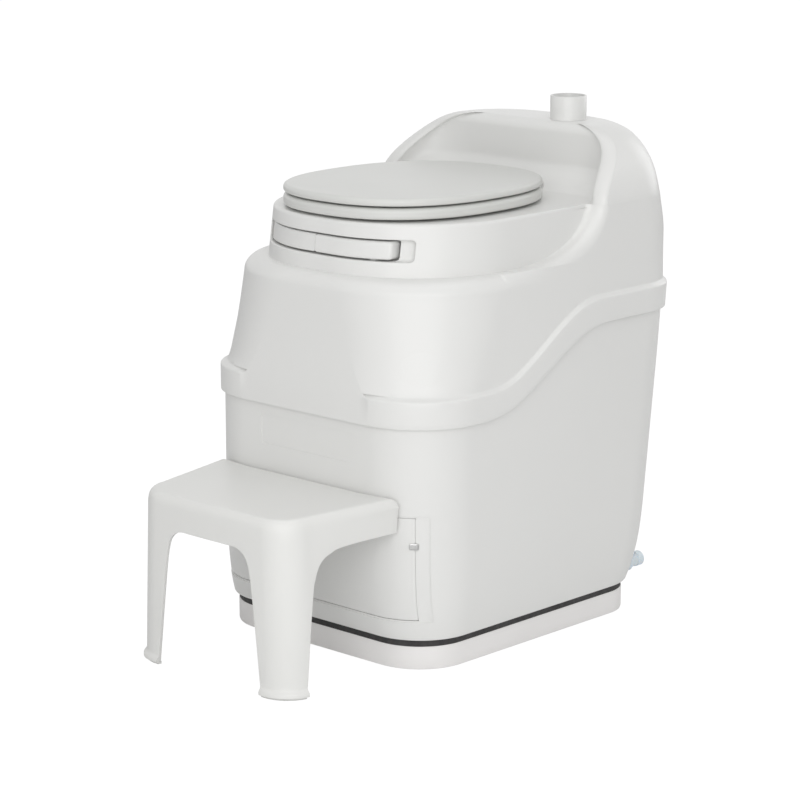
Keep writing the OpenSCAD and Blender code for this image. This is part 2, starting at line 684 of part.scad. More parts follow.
// Room inside the front wall at height z, on the bulkhead's front face
function room_x(z) = let(w = half_w(z) - wall, r = corner(z) - wall,
    d = clamp(plate_f - face_y(z) - wall, 0, r)) w - r + sqrt(r * r - pow(r - d, 2)) - 1.6;
bulk_zs = [262, 372, 410, 480, 560];
bulk_half = concat([for (z = bulk_zs) [room_x(z), z]], [[room_x(560) - 60, shoulder_z - 12],
    [pedestal_w / 2 - 121, shoulder_z], [pedestal_w / 2 - 121, deck_z - wall - gap]]);
module front_bulkhead() {
    color(PALE) difference() {
        along_y(0, plate_f, 0) mirror([0, 1, 0]) linear_extrude(plate_t) polygon(concat(bulk_half,
            [for (i = [len(bulk_half) - 1:-1:0]) [-bulk_half[i][0], bulk_half[i][1]]]));
        along_y(0, plate_f - 1, drum_z) cylinder(r = stub_r + 6.1, h = plate_t + 2);
        along_y(0, plate_f - 1, crank_z) cylinder(r = shaft_r + 5.1, h = plate_t + 2);
    }
}
module rear_bulkhead() {
    x = half_w(edge_z) - wall;
    color(PALE) difference() {
        union() {
            block([-x + 7.5, plate_r, 256], [x - 7.5, plate_r + plate_t, edge_z - 2]);
            block([-x - 1.2, plate_r, 262], [x + 1.2, plate_r + plate_t, 372]);
        }
        along_y(0, plate_r - 1, drum_z) cylinder(r = stub_r + 6.1, h = plate_t + 2);
        for (a = [0:45:315]) along_y(90 * cos(a), plate_r - 1, drum_z + 90 * sin(a))
            cylinder(r = 20, h = plate_t + 2);
    }
}

// ---------------------------------------------------------------- crank
grip_h = pocket_h - 6;
finger_x = 132;
finger_d = 12;
module crank_pocket() {
    color(WHITE) {
        difference() {
            union() {
                pocket_space(3, wall + 2 * gap, finger_d + 3);
                intersection() {
                    pocket_space(3, wall + 2 * gap, pocket_d + 3);
                    block([-far, -far, 0], [finger_x + 3, far, 900]);
                }
            }
            // shallow place for the fingers at the grip's end
            pocket_space(0, 2, finger_d);
            intersection() {
                pocket_space(0, 2, pocket_d);
                block([-far, -far, 0], [finger_x, far, 900]);
            }
            along_y(0, socket_y - 10, crank_z) cylinder(r = 15.5, h = 40);
        }
        // ribs that the stored crank lies on
        for (x = [-100, 90]) intersection() {
            key_slab(pocket_z0 - 1, crank_z - grip_h / 2 - gap, 12, pocket_d + 1);
            block([x, front_y, 0], [x + 8, front_y + 120, 900]);
        }
    }
}
arm_x0 = 3 - pocket_x;
grip_x0 = -12;
grip_x1 = 127;
module crank_bar(x0, x1, h, t0, t1) {
    intersection() {
        key_slab(crank_z - h / 2, crank_z + h / 2, t0, t1);
        block([x0, front_y, 0], [x1, front_y + 120, 900]);
    }
}
module crank_arm() {
    color(WHITE) {
        crank_bar(arm_x0, grip_x0 - gap, grip_h, 4, 16);
        crank_bar(grip_x0 - 2, grip_x1 - 6, 12, 7, 12);
        block([-5.5, ped_front(crank_z) + 10, crank_z - 5.5], [5.5, socket_y - gap, crank_z + 5.5]);
    }
}
module crank_grip() {
    color(WHITE) difference() {
        crank_bar(grip_x0, grip_x1, grip_h, 1.5, 18);
        crank_bar(grip_x0 - 2, grip_x1 - 5.7, 12.6, 6.7, 12.3);
        block([-6, ped_front(crank_z) + 9, crank_z - 6], [6, front_y + 90, crank_z + 6]);
    }
}

// ---------------------------------------------------------------- drawer and floor
pan_y0 = front_y + 26;
pan_l = 470;
pan_z = seal_z + foot_t + gap;
module evaporation_floor() {
    w = body_w - 48;
    t = 2;
    color(STEEL) translate([0, pan_y0, pan_z]) difference() {
        linear_extrude(14) plan(w, pan_l, 80, 80);
        translate([0, t, t]) linear_extrude(20) plan(w - 2 * t, pan_l - 2 * t, 80 - t, 80 - t);
    }
}
heat_r = 4;
module heating_element() {
    z = pan_z - gap - heat_r;
    xs = [-90, -30, 30, 90];
    y0 = pan_y0 + 120;
    y1 = pan_y0 + 380;
    color(STEEL) {
        for (x = xs) along_y(x, y0, z) cylinder(r = heat_r, h = y1 - y0);
        for (x = [-60, 60]) translate([x, y1, z]) rotate_extrude(angle = 180)
            translate([30, 0]) circle(r = heat_r);
        translate([0, y0, z]) rotate([0, 0, 180]) rotate_extrude(angle = 180)
            translate([30, 0]) circle(r = heat_r);
    }
}
module thermostat() {
    color(DARK) translate([150, pan_y0 + 300, pan_z - gap - 12]) {
        cylinder(r = 14, h = 12);
        block([-22, -6, 0], [22, 6, 4]);
    }
}
box_x = drawer_x - 10;
box_z0 = drawer_z + 6;
module drawer_runners() {
    z0 = pan_z + 2 + 0.1;
    y0 = pan_y0 + 36;
    color(PALE) for (s = [0, 1]) mirror([s, 0, 0]) {
        block([box_x - 22, y0, z0], [box_x + 8, y0 + drawer_l - 30, box_z0 - gap]);
        block([box_x + 1, y0, z0], [box_x + 8, y0 + drawer_l - 30, box_z0 + 22]);
    }
}
panel_t = 5;
box_y0 = front_y + 40;
module finishing_drawer() {
    h = 146;
    t = drawer_t;
    color(PALE) {
        difference() {
            block([-box_x, box_y0, box_z0], [box_x, box_y0 + drawer_l, box_z0 + h]);
            block([-box_x + t, box_y0 + t, box_z0 + t],
                [box_x - t, box_y0 + drawer_l - t, box_z0 + h + 1]);
        }
        // arms that carry the front panel
        for (x = [-100, 100]) block([x - 30, front_y + 1.5 + panel_t + gap, box_z0 + 110],
            [x + 30, box_y0 + 1, box_z0 + 140]);
    }
}
catch_z = 205;
catch_stem = drawer_x - 7.5;
// Block over the catch's place, g mm larger all round
module catch_cut(g, x0, x1, h) {
    block([x0 - g, front_y - 20, catch_z - h / 2 - g], [x1 + g, front_y + 80, catch_z + h / 2 + g]);
}
module drawer_front() {
    color(WHITE) difference() {
        intersection() {
            box_slab([drawer_z + gap, 110, 145, 200, drawer_top - gap], 1, 1.5 + panel_t);
            block([-drawer_x + 0.5, front_y - 20, 0], [drawer_x - 0.5, front_y + 80, 400]);
        }
        catch_cut(gap, catch_stem, catch_stem + 4, 6);
    }
}
// A tab on the drawer's edge that laps over the border, and the stem that holds it
module drawer_catch() {
    color(STEEL) {
        intersection() {
            box_slab([catch_z - 6.5, catch_z + 6.5], -1.5, 0.7);
            catch_cut(0, catch_stem - 1, drawer_x + 6.5, 13);
        }
        intersection() {
            box_slab([catch_z - 3, catch_z + 3], 0.5, 15);
            catch_cut(0, catch_stem, catch_stem + 4, 6);
        }
    }
}

// ---------------------------------------------------------------- fan, vent, drain, cord
fan_r = 62;
fan_z0 = 590;
fan_z1 = 650;
fan_y = vent_y;
module fan_housing() {
    color(PALE) difference() {
        union() {
            translate([vent_x, fan_y, fan_z0]) cylinder(r = fan_r, h = fan_z1 - fan_z0);
            translate([vent_x, fan_y, fan_z1 - 1]) cylinder(r = vent_r + 4, h = 30);
            block([vent_x - 40, plate_r + plate_t + 0.1, fan_z0 - 30],
                [vent_x + 40, fan_y - fan_r + 12, fan_z0 + 25]);
        }
        translate([vent_x, fan_y, fan_z0 + 4]) cylinder(r = fan_r - 3, h = fan_z1 - fan_z0 - 8);
        translate([vent_x, fan_y, fan_z0 - 1]) cylinder(r = 36, h = 10);
        translate([vent_x, fan_y, fan_z1 - 10]) cylinder(r = vent_r - 3, h = 30);
        translate([vent_x, fan_y, fan_z1 + 4]) cylinder(r = vent_neck_r + 0.1, h = 40);
    }
}
module fan_motor() {
    color(DARK) translate([vent_x, fan_y, 0]) {
        translate([0, 0, fan_z0 - 14]) cylinder(r = 20, h = 24);
        translate([0, 0, fan_z0 + 10]) cylinder(r = 3, h = 26);
        for (a = [0:120:240]) rotate([0, 0, a]) block([18, -4, fan_z0 - 4.1], [50, 4, fan_z0 - 0.1]);
    }
}
module fan_impeller() {
    color(PALE) translate([vent_x, fan_y, 0]) difference() {
        union() {
            translate([0, 0, fan_z0 + 11]) cylinder(r = 52, h = 2.5);
            translate([0, 0, fan_z0 + 11]) cylinder(r = 9, h = 25);
            for (a = [0:45:315]) rotate([0, 0, a]) block([8, -1.2, fan_z0 + 12], [52, 1.2, fan_z0 + 34]);
        }
        translate([0, 0, fan_z0]) cylinder(r = 3 + fit, h = 60);
    }
}
module vent_stub() {
    z0 = fan_z1 + 4 + 0.1;
    z1 = console_z + 0.1;
    color(WHITE) translate([vent_x, vent_y, 0]) difference() {
        union() {
            translate([0, 0, z0]) cylinder(r = vent_neck_r, h = z1 + 1 - z0);
            translate([0, 0, z1]) cylinder(r = vent_r, h = console_z + vent_up - z1);
        }
        translate([0, 0, z0 - 1]) cylinder(r = vent_r - 3, h = 300);
    }
}
module drain_stub() {
    color(BLUE) {
        along_y(drain_x, drain_y - 34, drain_z) tube(drain_r - 1, drain_r - 2.5, 34 + drain_out - 1);
        along_y(drain_x, drain_y + drain_out - drain_end, drain_z) tube(drain_r, drain_r - 2.5, drain_end);
        along_y(drain_x, drain_y - 36, drain_z) tube(drain_r + 4, drain_r - 2.5, 3);
    }
}
module drain_gasket() {
    color(BLUE) along_y(drain_x, drain_y - 32, drain_z) tube(drain_r + 3, drain_r - 0.9, 30);
}
module cord_gland() {
    color(DARK) at_gland() difference() {
        union() {
            translate([0, 0, -18]) cylinder(r = gland_r, h = 40);
            translate([0, 0, -5.3]) cylinder(r = gland_r + 5, h = 5);
        }
        translate([0, 0, -20]) cylinder(r = 4, h = 60);
    }
}

// ---------------------------------------------------------------- stool
stool_f = front_y - stool_reach;
stool_b = front_y - 1;
stool_lip = 5;
// Outline of the stool: front corners round, rear corners spread round the housing;
// g flares the legs towards the floor
nQ = 8;
function stool_half(z, t) = let(g = 1 - z / stool_h, w = mix(stool_w / 2 - 9, stool_w / 2, g) - t,
    yf = stool_f + mix(7, stool_lip, g) + t, r = stool_r - t, e = 7 * (1 - g)) concat(
    [[0, yf]],
    [for (i = [0:nQ]) let(a = -90 + 90 * i / nQ) [w - r + r * cos(a), yf + r + r * sin(a)]],
    [[w + 29 * (1 - g), stool_b + e - t], [139 - t, stool_b - t], [0, stool_b - t]]);
// The step rises a little towards the housing
function stool_z(z, y) = z * (1 + 0.016 * (y - stool_f) / stool_reach);
function stool_ring(z, t, dz) = let(h = stool_half(z, t), n = len(h) - 1) concat(
    [for (i = [0:n]) [h[i][0], h[i][1], stool_z(z, h[i][1]) - dz]],
    [for (i = [n - 1:-1:1]) [-h[i][0], h[i][1], stool_z(z, h[i][1]) - dz]]);
module stool_body() {
    difference() {
        loft([stool_ring(stool_h, stool_t + 4, stool_t), stool_ring(stool_h - 16, stool_t, 0),
            stool_ring(pad_t, stool_t, 0), stool_ring(pad_t, -stool_lip, 0),
            stool_ring(pad_t + 6, -stool_lip, 0), stool_ring(pad_t + 10, 0, 0),
            stool_ring(stool_h - 18, 0, 0), stool_ring(stool_h - 8, 1.6, 0),
            stool_ring(stool_h - 2.5, 5.5, 0), stool_ring(stool_h, 12, 0)], false);
        // space between the legs, arched at the top
        translate([0, stool_f - 10, 0]) rotate([90, 0, 0]) mirror([0, 0, 1]) linear_extrude(60)
            polygon([[-116, -1], [-98, 148], [-90, 196], [-80, 216], [-62, stool_h - apron_h],
                [62, stool_h - apron_h], [80, 216], [90, 196], [98, 148], [116, -1]]);
        // sides cut away behind the legs
        translate([-far / 2, 0, 0]) rotate([90, 0, 90]) linear_extrude(far)
            polygon([[stool_f + 46, -1], [stool_f + 63, 150], [stool_f + 70, 185],
                [stool_f + 80, 206], [stool_f + 98, 218], [stool_f + 130, stool_h - apron_h],
                [stool_f + 240, stool_h - apron_h + 4], [far, stool_h - apron_h + 4], [far, -1]]);
    }
}
module step_stool() {
    color(WHITE) {
        stool_body();
        for (x = [-hook_x, hook_x]) {
            block([x - hook_w / 2, stool_b - 3, hook_z - hook_t], [x + hook_w / 2, front_y + 14, hook_z]);
        }
    }
}
module stool_pads() {
    color(DARK) difference() {
        loft([stool_ring(0, stool_t + 2, 0), stool_ring(0, 0, 0), stool_ring(pad_t, 0, 0.1),
            stool_ring(pad_t, stool_t + 2, 0.1)], true);
        block([-116, -far, -1], [116, far, 20]);
        block([-far, stool_f + 46, -1], [far, far, 20]);
    }
}

// ---------------------------------------------------------------- drawing
base_tray();
base_seal();
lower_shell();
upper_shell();
evaporation_floor();
heating_element();
thermostat();
drawer_runners();
finishing_drawer();
drawer_front();
drawer_catch();
front_bulkhead();
rear_bulkhead();
drum_bearings();
drum_shell();
drum_front_end();
drum_rear_end();
drum_gear();
mixing_bars();
drum_door();
drum_door_pin();
drive_bushing();
drive_shaft();
drive_pinion();
drive_socket();
crank_pocket();
crank_arm();
crank_grip();
bowl_liner();
seat_hinge_posts();
seat_nuts();
seat_hinge_pins();
seat_ring();
seat_buffers();
seat_lid();
lid_hinge_arms();
lid_buffers();
fan_housing();
fan_motor();
fan_impeller();
vent_stub();
drain_stub();
drain_gasket();
cord_gland();
step_stool();
stool_pads();
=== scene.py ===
"""Composting toilet with its step stool: the looks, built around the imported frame.

Lengths in the shape functions are millimetres, as in the part's source. put() turns
them into metres. The front faces -Y, and the floor is z = 0.
"""
import json
import math

import bmesh
import bpy
import numpy as np
from mathutils import Matrix, Vector


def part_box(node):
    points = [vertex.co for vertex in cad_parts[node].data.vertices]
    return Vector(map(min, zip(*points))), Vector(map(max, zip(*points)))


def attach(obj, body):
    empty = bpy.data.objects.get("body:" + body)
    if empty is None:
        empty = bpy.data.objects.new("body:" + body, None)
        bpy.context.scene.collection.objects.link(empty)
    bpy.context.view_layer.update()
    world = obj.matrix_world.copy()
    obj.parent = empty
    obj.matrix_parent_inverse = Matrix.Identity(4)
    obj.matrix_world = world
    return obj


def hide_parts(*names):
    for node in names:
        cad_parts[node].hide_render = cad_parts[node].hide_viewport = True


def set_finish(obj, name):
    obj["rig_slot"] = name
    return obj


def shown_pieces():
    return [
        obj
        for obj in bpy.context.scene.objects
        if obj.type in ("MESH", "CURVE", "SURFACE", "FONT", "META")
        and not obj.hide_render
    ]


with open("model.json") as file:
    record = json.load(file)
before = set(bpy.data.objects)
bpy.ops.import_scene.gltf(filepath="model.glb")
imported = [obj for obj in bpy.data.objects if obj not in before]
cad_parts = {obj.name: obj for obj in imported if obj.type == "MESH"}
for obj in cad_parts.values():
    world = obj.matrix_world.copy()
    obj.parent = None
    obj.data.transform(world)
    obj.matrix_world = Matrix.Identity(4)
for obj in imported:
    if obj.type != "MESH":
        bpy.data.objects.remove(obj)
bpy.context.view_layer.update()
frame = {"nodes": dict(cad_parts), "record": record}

MM = 0.001

# ------------------------------------------------------------------ camera
# Fitted to the photograph's edges: angles in radians, focal length in pixels.
CAM_AZ, CAM_EL, CAM_D = 0.75388, 0.22578, 4696.1
CAM_AIM = np.array([-1.0, 0.5, 372.4])
CAM_F, PICTURE = 2890.8, 800.0
SENSOR = 36.0


def make_camera():
    """A camera at the photograph's angle: aim plus distance along the backward vector."""
    flat = math.cos(CAM_EL)
    back = np.array([math.sin(CAM_AZ) * flat, -math.cos(CAM_AZ) * flat, math.sin(CAM_EL)])
    right = np.array([math.cos(CAM_AZ), math.sin(CAM_AZ), 0.0])
    up = np.cross(back, right)
    eye = (CAM_AIM + back * CAM_D) * MM
    data = bpy.data.cameras.new("photo_camera")
    data.sensor_width = SENSOR
    data.lens = CAM_F / PICTURE * SENSOR
    data.clip_end = 60.0
    cam = bpy.data.objects.new("photo_camera", data)
    rows = [[right[i], up[i], back[i], eye[i]] for i in range(3)]
    cam.matrix_world = Matrix(rows + [[0, 0, 0, 1]])
    bpy.context.scene.collection.objects.link(cam)
    bpy.context.scene.camera = cam


make_camera()

# ------------------------------------------------------------------ sizes, as in the part
STOOL_REACH, BODY_DEPTH, BODY_W, WALL, GAP = 221.0, 654.0, 502.0, 5.0, 0.3
BAND_Z, BAND_H, BAND_RISE, BAND_OUT = 391.0, 44.0, 115.0, 7.0
FRONT = STOOL_REACH - (STOOL_REACH + BODY_DEPTH) / 2
BACK = FRONT + BODY_DEPTH - BAND_OUT
SHOULDER_Z, DECK_Z, CONSOLE_Z = 612.0, 694.0, 803.0
EDGE_Z, LEAN_TOP = SHOULDER_Z - 25, BAND_Z + BAND_H + BAND_RISE - 2
CORNER_R, SHOULDER_R, REAR_R = 112.0, 180.0, 100.0
PED_W, PED_R, PED_Y = 442.0, 190.0, FRONT + 27
RIM_T, RIM_L, CONSOLE_R, TOP_R = 29.0, 12.0, 116.0, 18.0
CONSOLE_0 = FRONT + 487
WING_0, WING_1, WING_Z, WING_POWER = FRONT + 197, FRONT + 430, CONSOLE_Z - 61, 2.8
NOTCH, NOTCH_SHARE = 8.0, 0.35
# How far the foot is drawn in at the sides, front, back and corners, from SEAL_Z upwards.
SEAL_Z, TUCK_H = 50.0, 150.0
TUCK_SIDE, TUCK_FRONT, TUCK_REAR, TUCK_CORNER = 12.0, 14.0, 12.0, 17.0
# How far the walls lean in: sides and front over the band, and the back per mm of height.
LEAN_SIDE, LEAN_FRONT, LEAN_BACK = 2.5, 5.0, 0.12


def smooth(t):
    """Rises from 0 to 1 with level ends: 3t^2 - 2t^3."""
    t = np.clip(t, 0, 1)
    return t * t * (3 - 2 * t)


def tuck(z):
    """1 at the foot, falling to 0 by the cube of the height left."""
    return np.clip((SEAL_Z + TUCK_H - z) / TUCK_H, 0, 1) ** 3


def rise(z):
    """0 at the band's upper edge in front, 1 under the shoulder."""
    return np.clip((z - BAND_Z - BAND_H) / (EDGE_Z - BAND_Z - BAND_H), 0, 1)


def half_w(z):
    return BODY_W / 2 - TUCK_SIDE * tuck(z) - LEAN_SIDE * rise(z)


def face_y(z):
    return FRONT + TUCK_FRONT * tuck(z) + LEAN_FRONT * rise(z)


def rear_y(z):
    return BACK - LEAN_BACK * np.maximum(LEAN_TOP - z, 0) - TUCK_REAR * tuck(z)


def rear_up(z):
    """The back leans in a little between the shoulder and the console's foot."""
    return BACK - 14.5 * smooth((z - SHOULDER_Z - 18) / 90)


def corner(z):
    """Radius of the front corners, growing towards the shoulder."""
    return CORNER_R - TUCK_CORNER * tuck(z) + (SHOULDER_R - CORNER_R) * rise(z) ** 0.55


def swell(z):
    """How far the front bulges at and over the band."""
    return np.where(z < BAND_Z - 1, 0.0, BAND_OUT * (1 - smooth((z - BAND_Z) / 150)))


def band_lo(y):
    """Lower edge of the band, which climbs along the side."""
    return BAND_Z + BAND_RISE * smooth((y - FRONT - 144) / 286)


def band_hi(y):
    return BAND_Z + BAND_H + (BAND_RISE - 2) * smooth((y - FRONT - 155) / 259)


def roll(z):
    """How far the console's front edge rolls back over the last TOP_R under its top."""
    return TOP_R - np.sqrt(TOP_R**2 - np.clip(z - CONSOLE_Z + TOP_R, 0, TOP_R) ** 2)


def wing_y(z):
    """Front edge of the console's wing: a superellipse sweeping up and back from the shoulder."""
    t = np.clip((WING_Z - z) / (WING_Z - SHOULDER_Z), 0, 1)
    sweep = (WING_1 - WING_0) * (1 - t**WING_POWER) ** (1 / WING_POWER)
    return WING_0 + sweep + 80 * smooth((z - CONSOLE_Z + 100) / 100) + roll(z)


def rim_l(z):
    """Length of the wing's rounded front rim, longer where the wing lies flat."""
    return RIM_L + wing_y(z + 18) - wing_y(z)


def ped_w(z):
    return PED_W / 2 - 4 * (z - SHOULDER_Z) / (DECK_Z - SHOULDER_Z)


def ped_front(z):
    return PED_Y + 9 * (z - SHOULDER_Z) / (DECK_Z - SHOULDER_Z)


def recess_y(z):
    """Front of the recess between the console's rims."""
    return CONSOLE_0 + 32 * smooth((z - DECK_Z) / 42) + roll(z)


def con_w(z):
    """Half width of the console, a quarter circle of radius CONSOLE_R under its top."""
    c = np.clip(z - (CONSOLE_Z - CONSOLE_R), 0, CONSOLE_R)
    return half_w(EDGE_Z) - CONSOLE_R + np.sqrt(CONSOLE_R**2 - c * c)


def con_rear(z):
    c = np.clip(z - (CONSOLE_Z - TOP_R), 0, TOP_R)
    return rear_up(z) - TOP_R + np.sqrt(TOP_R**2 - c * c)


# A half outline is cut into stretches: front, corner, side, notch, wing rim, side behind,
# rear corner, back. PART holds the stretch of each point, AT how far along it the point is.
COUNTS = (10, 40, 14, 12, 24, 12, 28, 8)
PART = np.concatenate([np.full(n, k) for k, n in enumerate(COUNTS)] + [[8]])
AT = np.concatenate([np.arange(n) / n for n in COUNTS] + [[0.0]])
AT[: COUNTS[0]] = np.linspace(0, 0.985, COUNTS[0])
HALF = len(PART)


def arc_pt(cx, cy, rx, ry, a0, a1):
    a = np.radians(a0 + (a1 - a0) * AT)
    return cx + rx * np.cos(a), cy + ry * np.sin(a)


def line_pt(x0, y0, x1, y1):
    return x0 + (x1 - x0) * AT, y0 + (y1 - y0) * AT


def pick(pieces):
    """Chooses each point from the piece of its own stretch."""
    xs = [np.broadcast_to(p[0], (HALF,)) for p in pieces]
    ys = [np.broadcast_to(p[1], (HALF,)) for p in pieces]
    return np.stack([np.choose(PART, xs), np.choose(PART, ys)], axis=1)


def rear_parts(w, y0, yr, rr):
    """Side behind the wing, rear corner and back, from (w, y0) to the middle."""
    ry = np.minimum(rr, yr - y0 - 4)
    return [
        line_pt(w, y0, w, yr - ry),
        arc_pt(w - rr, yr - ry, rr, ry, 0, 90),
        line_pt(w - rr, yr, 0 * w, yr),
        (0 * w, yr),
    ]


def plain(z, p=0.0, t=0.0, sw=1.0):
    """Section of the housing at height z: a rounded rectangle, p outwards at the band, t inwards.
    sw is the share of the front's swell."""
    z = np.asarray(z, float)
    w, yf, rf = half_w(z) + p - t, face_y(z) - p + t, corner(z) + p - t
    yr, rr = rear_y(z) + p - t, REAR_R + p - t
    xs, ym = w - rf, face_y(z) - sw * swell(z) + t
    cx, cy = arc_pt(xs, yf + rf, rf, rf, -90, 0)
    if p <= 0:
        cy = cy - sw * swell(z) * np.maximum(1 - AT * 12 / 5, 0) ** 2
    y0 = WING_0 + rim_l(SHOULDER_Z)
    front = [
        line_pt(0 * xs, ym, xs, ym),
        (cx, cy),
        line_pt(w, yf + rf, w, WING_0 - NOTCH),
        line_pt(w, WING_0 - NOTCH, w, WING_0),
        line_pt(w, WING_0, w, y0),
    ]
    return pick(front + rear_parts(w, y0, yr, rr))


def keyhole(z, t=0.0, tf=0.0):
    """Section through the pedestal: its own narrow front, then the wings, t inwards.
    tf draws in the front only."""
    wp, yf, rf = ped_w(z) - t - tf, ped_front(z) + t + tf, PED_R - t - tf
    w, yn = half_w(EDGE_Z) - t, wing_y(z) + t
    d, ry = w - (ped_w(z) - t), min(rf, wing_y(z) + t - NOTCH - yf - 4)
    dx, wn, rim = d * NOTCH_SHARE, ped_w(z) - t, rim_l(z)
    front = [
        line_pt(0, yf, wp - rf, yf),
        arc_pt(wp - rf, yf + ry, rf, ry, -90, 0),
        line_pt(wp, yf + ry, wn, yn - NOTCH),
        arc_pt(wn + dx, yn - NOTCH, dx, NOTCH, 180, 90),
        arc_pt(wn + dx, yn + rim, d - dx, rim, -90, 0),
    ]
    return pick(front + rear_parts(w, yn + rim, rear_up(z) - t, REAR_R - t))


def console(z, t=0.0, tf=0.0):
    """Section through the console: a recess with elliptical corners between two rims."""
    w, wi = con_w(z) - t, con_w(z) - RIM_T + t
    yc, yn, wf = recess_y(z) + t + tf, wing_y(z) + t, wi + tf
    xf, ye, d = min(120, con_w(z) - RIM_T - 40), wing_y(z) + t + NOTCH, w - wi
    dx = d * NOTCH_SHARE
    n = COUNTS[1] + COUNTS[2]
    k = np.where(PART == 1, AT * COUNTS[1], COUNTS[1] + AT * COUNTS[2]) / n
    a = np.radians(90 * (1 - k))
    sweep = (xf + (wf - xf) * np.cos(a), ye + (yc - ye) * np.sin(a))
    front = [
        line_pt(0, yc, xf, yc),
        sweep,
        sweep,
        arc_pt(wi + dx, ye, dx, NOTCH, 180, 270),
        arc_pt(wi + dx, yn + RIM_L, d - dx, RIM_L, -90, 0),
    ]
    return pick(front + rear_parts(w, yn + RIM_L, con_rear(z) - t, REAR_R - t))


def ring(half, z):
    """Closes a half outline with its mirror image, anticlockwise from above."""
    right = np.column_stack([half, np.broadcast_to(z, (HALF,))])
    left = right[-2:0:-1] * [-1, 1, 1]
    return np.concatenate([right, left])


REF_Y = plain(BAND_Z + 60)[:, 1]
LO, HI = band_lo(REF_Y), band_hi(REF_Y)


def along(z, p=0.0, t=0.0):
    """Ring whose height follows the band: every point sits at its own height."""
    return ring(plain(z, p, t), z)


def level(z, t=0.0, at=None):
    """Ring of the lower housing without the swell, t inwards, drawn at another height if given."""
    return ring(plain(z, 0, t, 0), z if at is None else at)


def shoulder(a, t=0.0):
    """Ring on the quarter-round shoulder: box outline turning into the keyhole over angle a."""
    k = 1 - math.cos(math.radians(a))
    z = EDGE_Z + (SHOULDER_Z - t - EDGE_Z) * math.sin(math.radians(a))
    return ring(plain(EDGE_Z, 0, t) * (1 - k) + keyhole(SHOULDER_Z, t) * k, z)


def degrees(lo, hi, n):
    """n angles from lo to hi degrees, in radians."""
    return np.radians(np.linspace(lo, hi, n))


# ------------------------------------------------------------------ meshes
def put(name, verts, faces, sharp=35.0):
    """A mesh object at the origin from millimetre points; edges over the angle stay sharp."""
    mesh = bpy.data.meshes.new(name)
    metres = (np.asarray(verts, float) * MM).tolist()
    mesh.from_pydata(metres, [], [list(map(int, f)) for f in faces])
    mesh.update()
    obj = bpy.data.objects.new(name, mesh)
    bpy.context.scene.collection.objects.link(obj)
    finish_shading(obj, sharp)
    return obj


def finish_shading(obj, sharp=35.0):
    obj.data.shade_smooth()
    obj.data.set_sharp_from_angle(angle=math.radians(sharp))


def grid_faces(k, n, wrap):
    """Quads between k rings of n points, facing out when the rings climb the outside."""
    j = np.arange(k if wrap else k - 1)[:, None]
    i = np.arange(n)[None, :]
    a, b = j * n + i, j * n + (i + 1) % n
    c, d = ((j + 1) % k) * n + i, ((j + 1) % k) * n + (i + 1) % n
    return np.stack([a, b, d, c], axis=-1).reshape(-1, 4)


def loft(name, rings, wrap=False, sharp=35.0):
    """Skin over rings of equal size. Without wrap the first and last ring are capped."""
    rings = np.asarray(rings)
    k, n = rings.shape[:2]
    faces = grid_faces(k, n, wrap).tolist()
    if not wrap:
        faces.append(list(range(n - 1, -1, -1)))
        faces.append([(k - 1) * n + i for i in range(n)])
    return put(name, rings.reshape(-1, 3), faces, sharp)


def apply_modifiers(obj):
    deps = bpy.context.evaluated_depsgraph_get()
    mesh = bpy.data.meshes.new_from_object(obj.evaluated_get(deps))
    obj.modifiers.clear()
    obj.data = mesh


def cut(obj, tool, how="DIFFERENCE"):
    """Takes tool's shape out of obj, or joins them on request, and removes tool."""
    mod = obj.modifiers.new("cut", "BOOLEAN")
    mod.object, mod.operation, mod.solver = tool, how, "EXACT"
    apply_modifiers(obj)
    bpy.data.objects.remove(tool)


def prism(name, outline, z0, z1):
    """A flat outline (anticlockwise) carried straight up from z0 to z1."""
    flat = np.asarray(outline, float)
    rings = [np.column_stack([flat, np.full(len(flat), z)]) for z in (z0, z1)]
    return loft(name, rings)


def block(name, lo, hi):
    corners = [(lo[0], lo[1]), (hi[0], lo[1]), (hi[0], hi[1]), (lo[0], hi[1])]
    return prism(name, corners, lo[2], hi[2])


def round_box(lo, hi, r, b, n=10):
    """Outline of a rectangle with round corners: radius r in front, b behind."""
    corners = (
        (hi[0] - r, lo[1] + r, -90, r),
        (hi[0] - b, hi[1] - b, 0, b),
        (lo[0] + b, hi[1] - b, 90, b),
        (lo[0] + r, lo[1] + r, 180, r),
    )
    pts = []
    for cx, cy, a0, q in corners:
        a = np.radians(a0 + np.linspace(0, 90, n))
        pts.append(np.column_stack([cx + q * np.cos(a), cy + q * np.sin(a)]))
    return np.concatenate(pts)


def oval(w, l, d, n=160, cy=0.0):
    """Superellipse outline with exponent 2.4, d inside a w by l box."""
    a = np.radians(-90 + 360 * np.arange(n) / n)
    c, s = np.cos(a), np.sin(a)
    e = 1 / 1.2
    x = (w / 2 - d) * np.sign(c) * abs(c) ** e
    return np.column_stack([x, (l / 2 - d) * np.sign(s) * abs(s) ** e + cy])


def at_z(flat, z):
    return np.column_stack([flat, np.full(len(flat), z)])


def turned(name, r_z, cx, cy, n=96):
    """A profile of (radius, height) pairs turned about a vertical line."""
    a = 2 * np.pi * np.arange(n) / n
    x, y = np.cos(a), np.sin(a)
    rings = [np.column_stack([cx + r * x, cy + r * y, np.full(n, z)]) for r, z in r_z]
    return loft(name, rings, wrap=True)


def tidy_mesh(obj, recalc=False):
    """Merges points that coincide and, on request, turns the faces outwards."""
    bm = bmesh.new()
    bm.from_mesh(obj.data)
    bmesh.ops.remove_doubles(bm, verts=bm.verts, dist=2e-6)
    if recalc:
        bmesh.ops.recalc_face_normals(bm, faces=bm.faces)
    bm.to_mesh(obj.data)
    bm.free()
    return obj


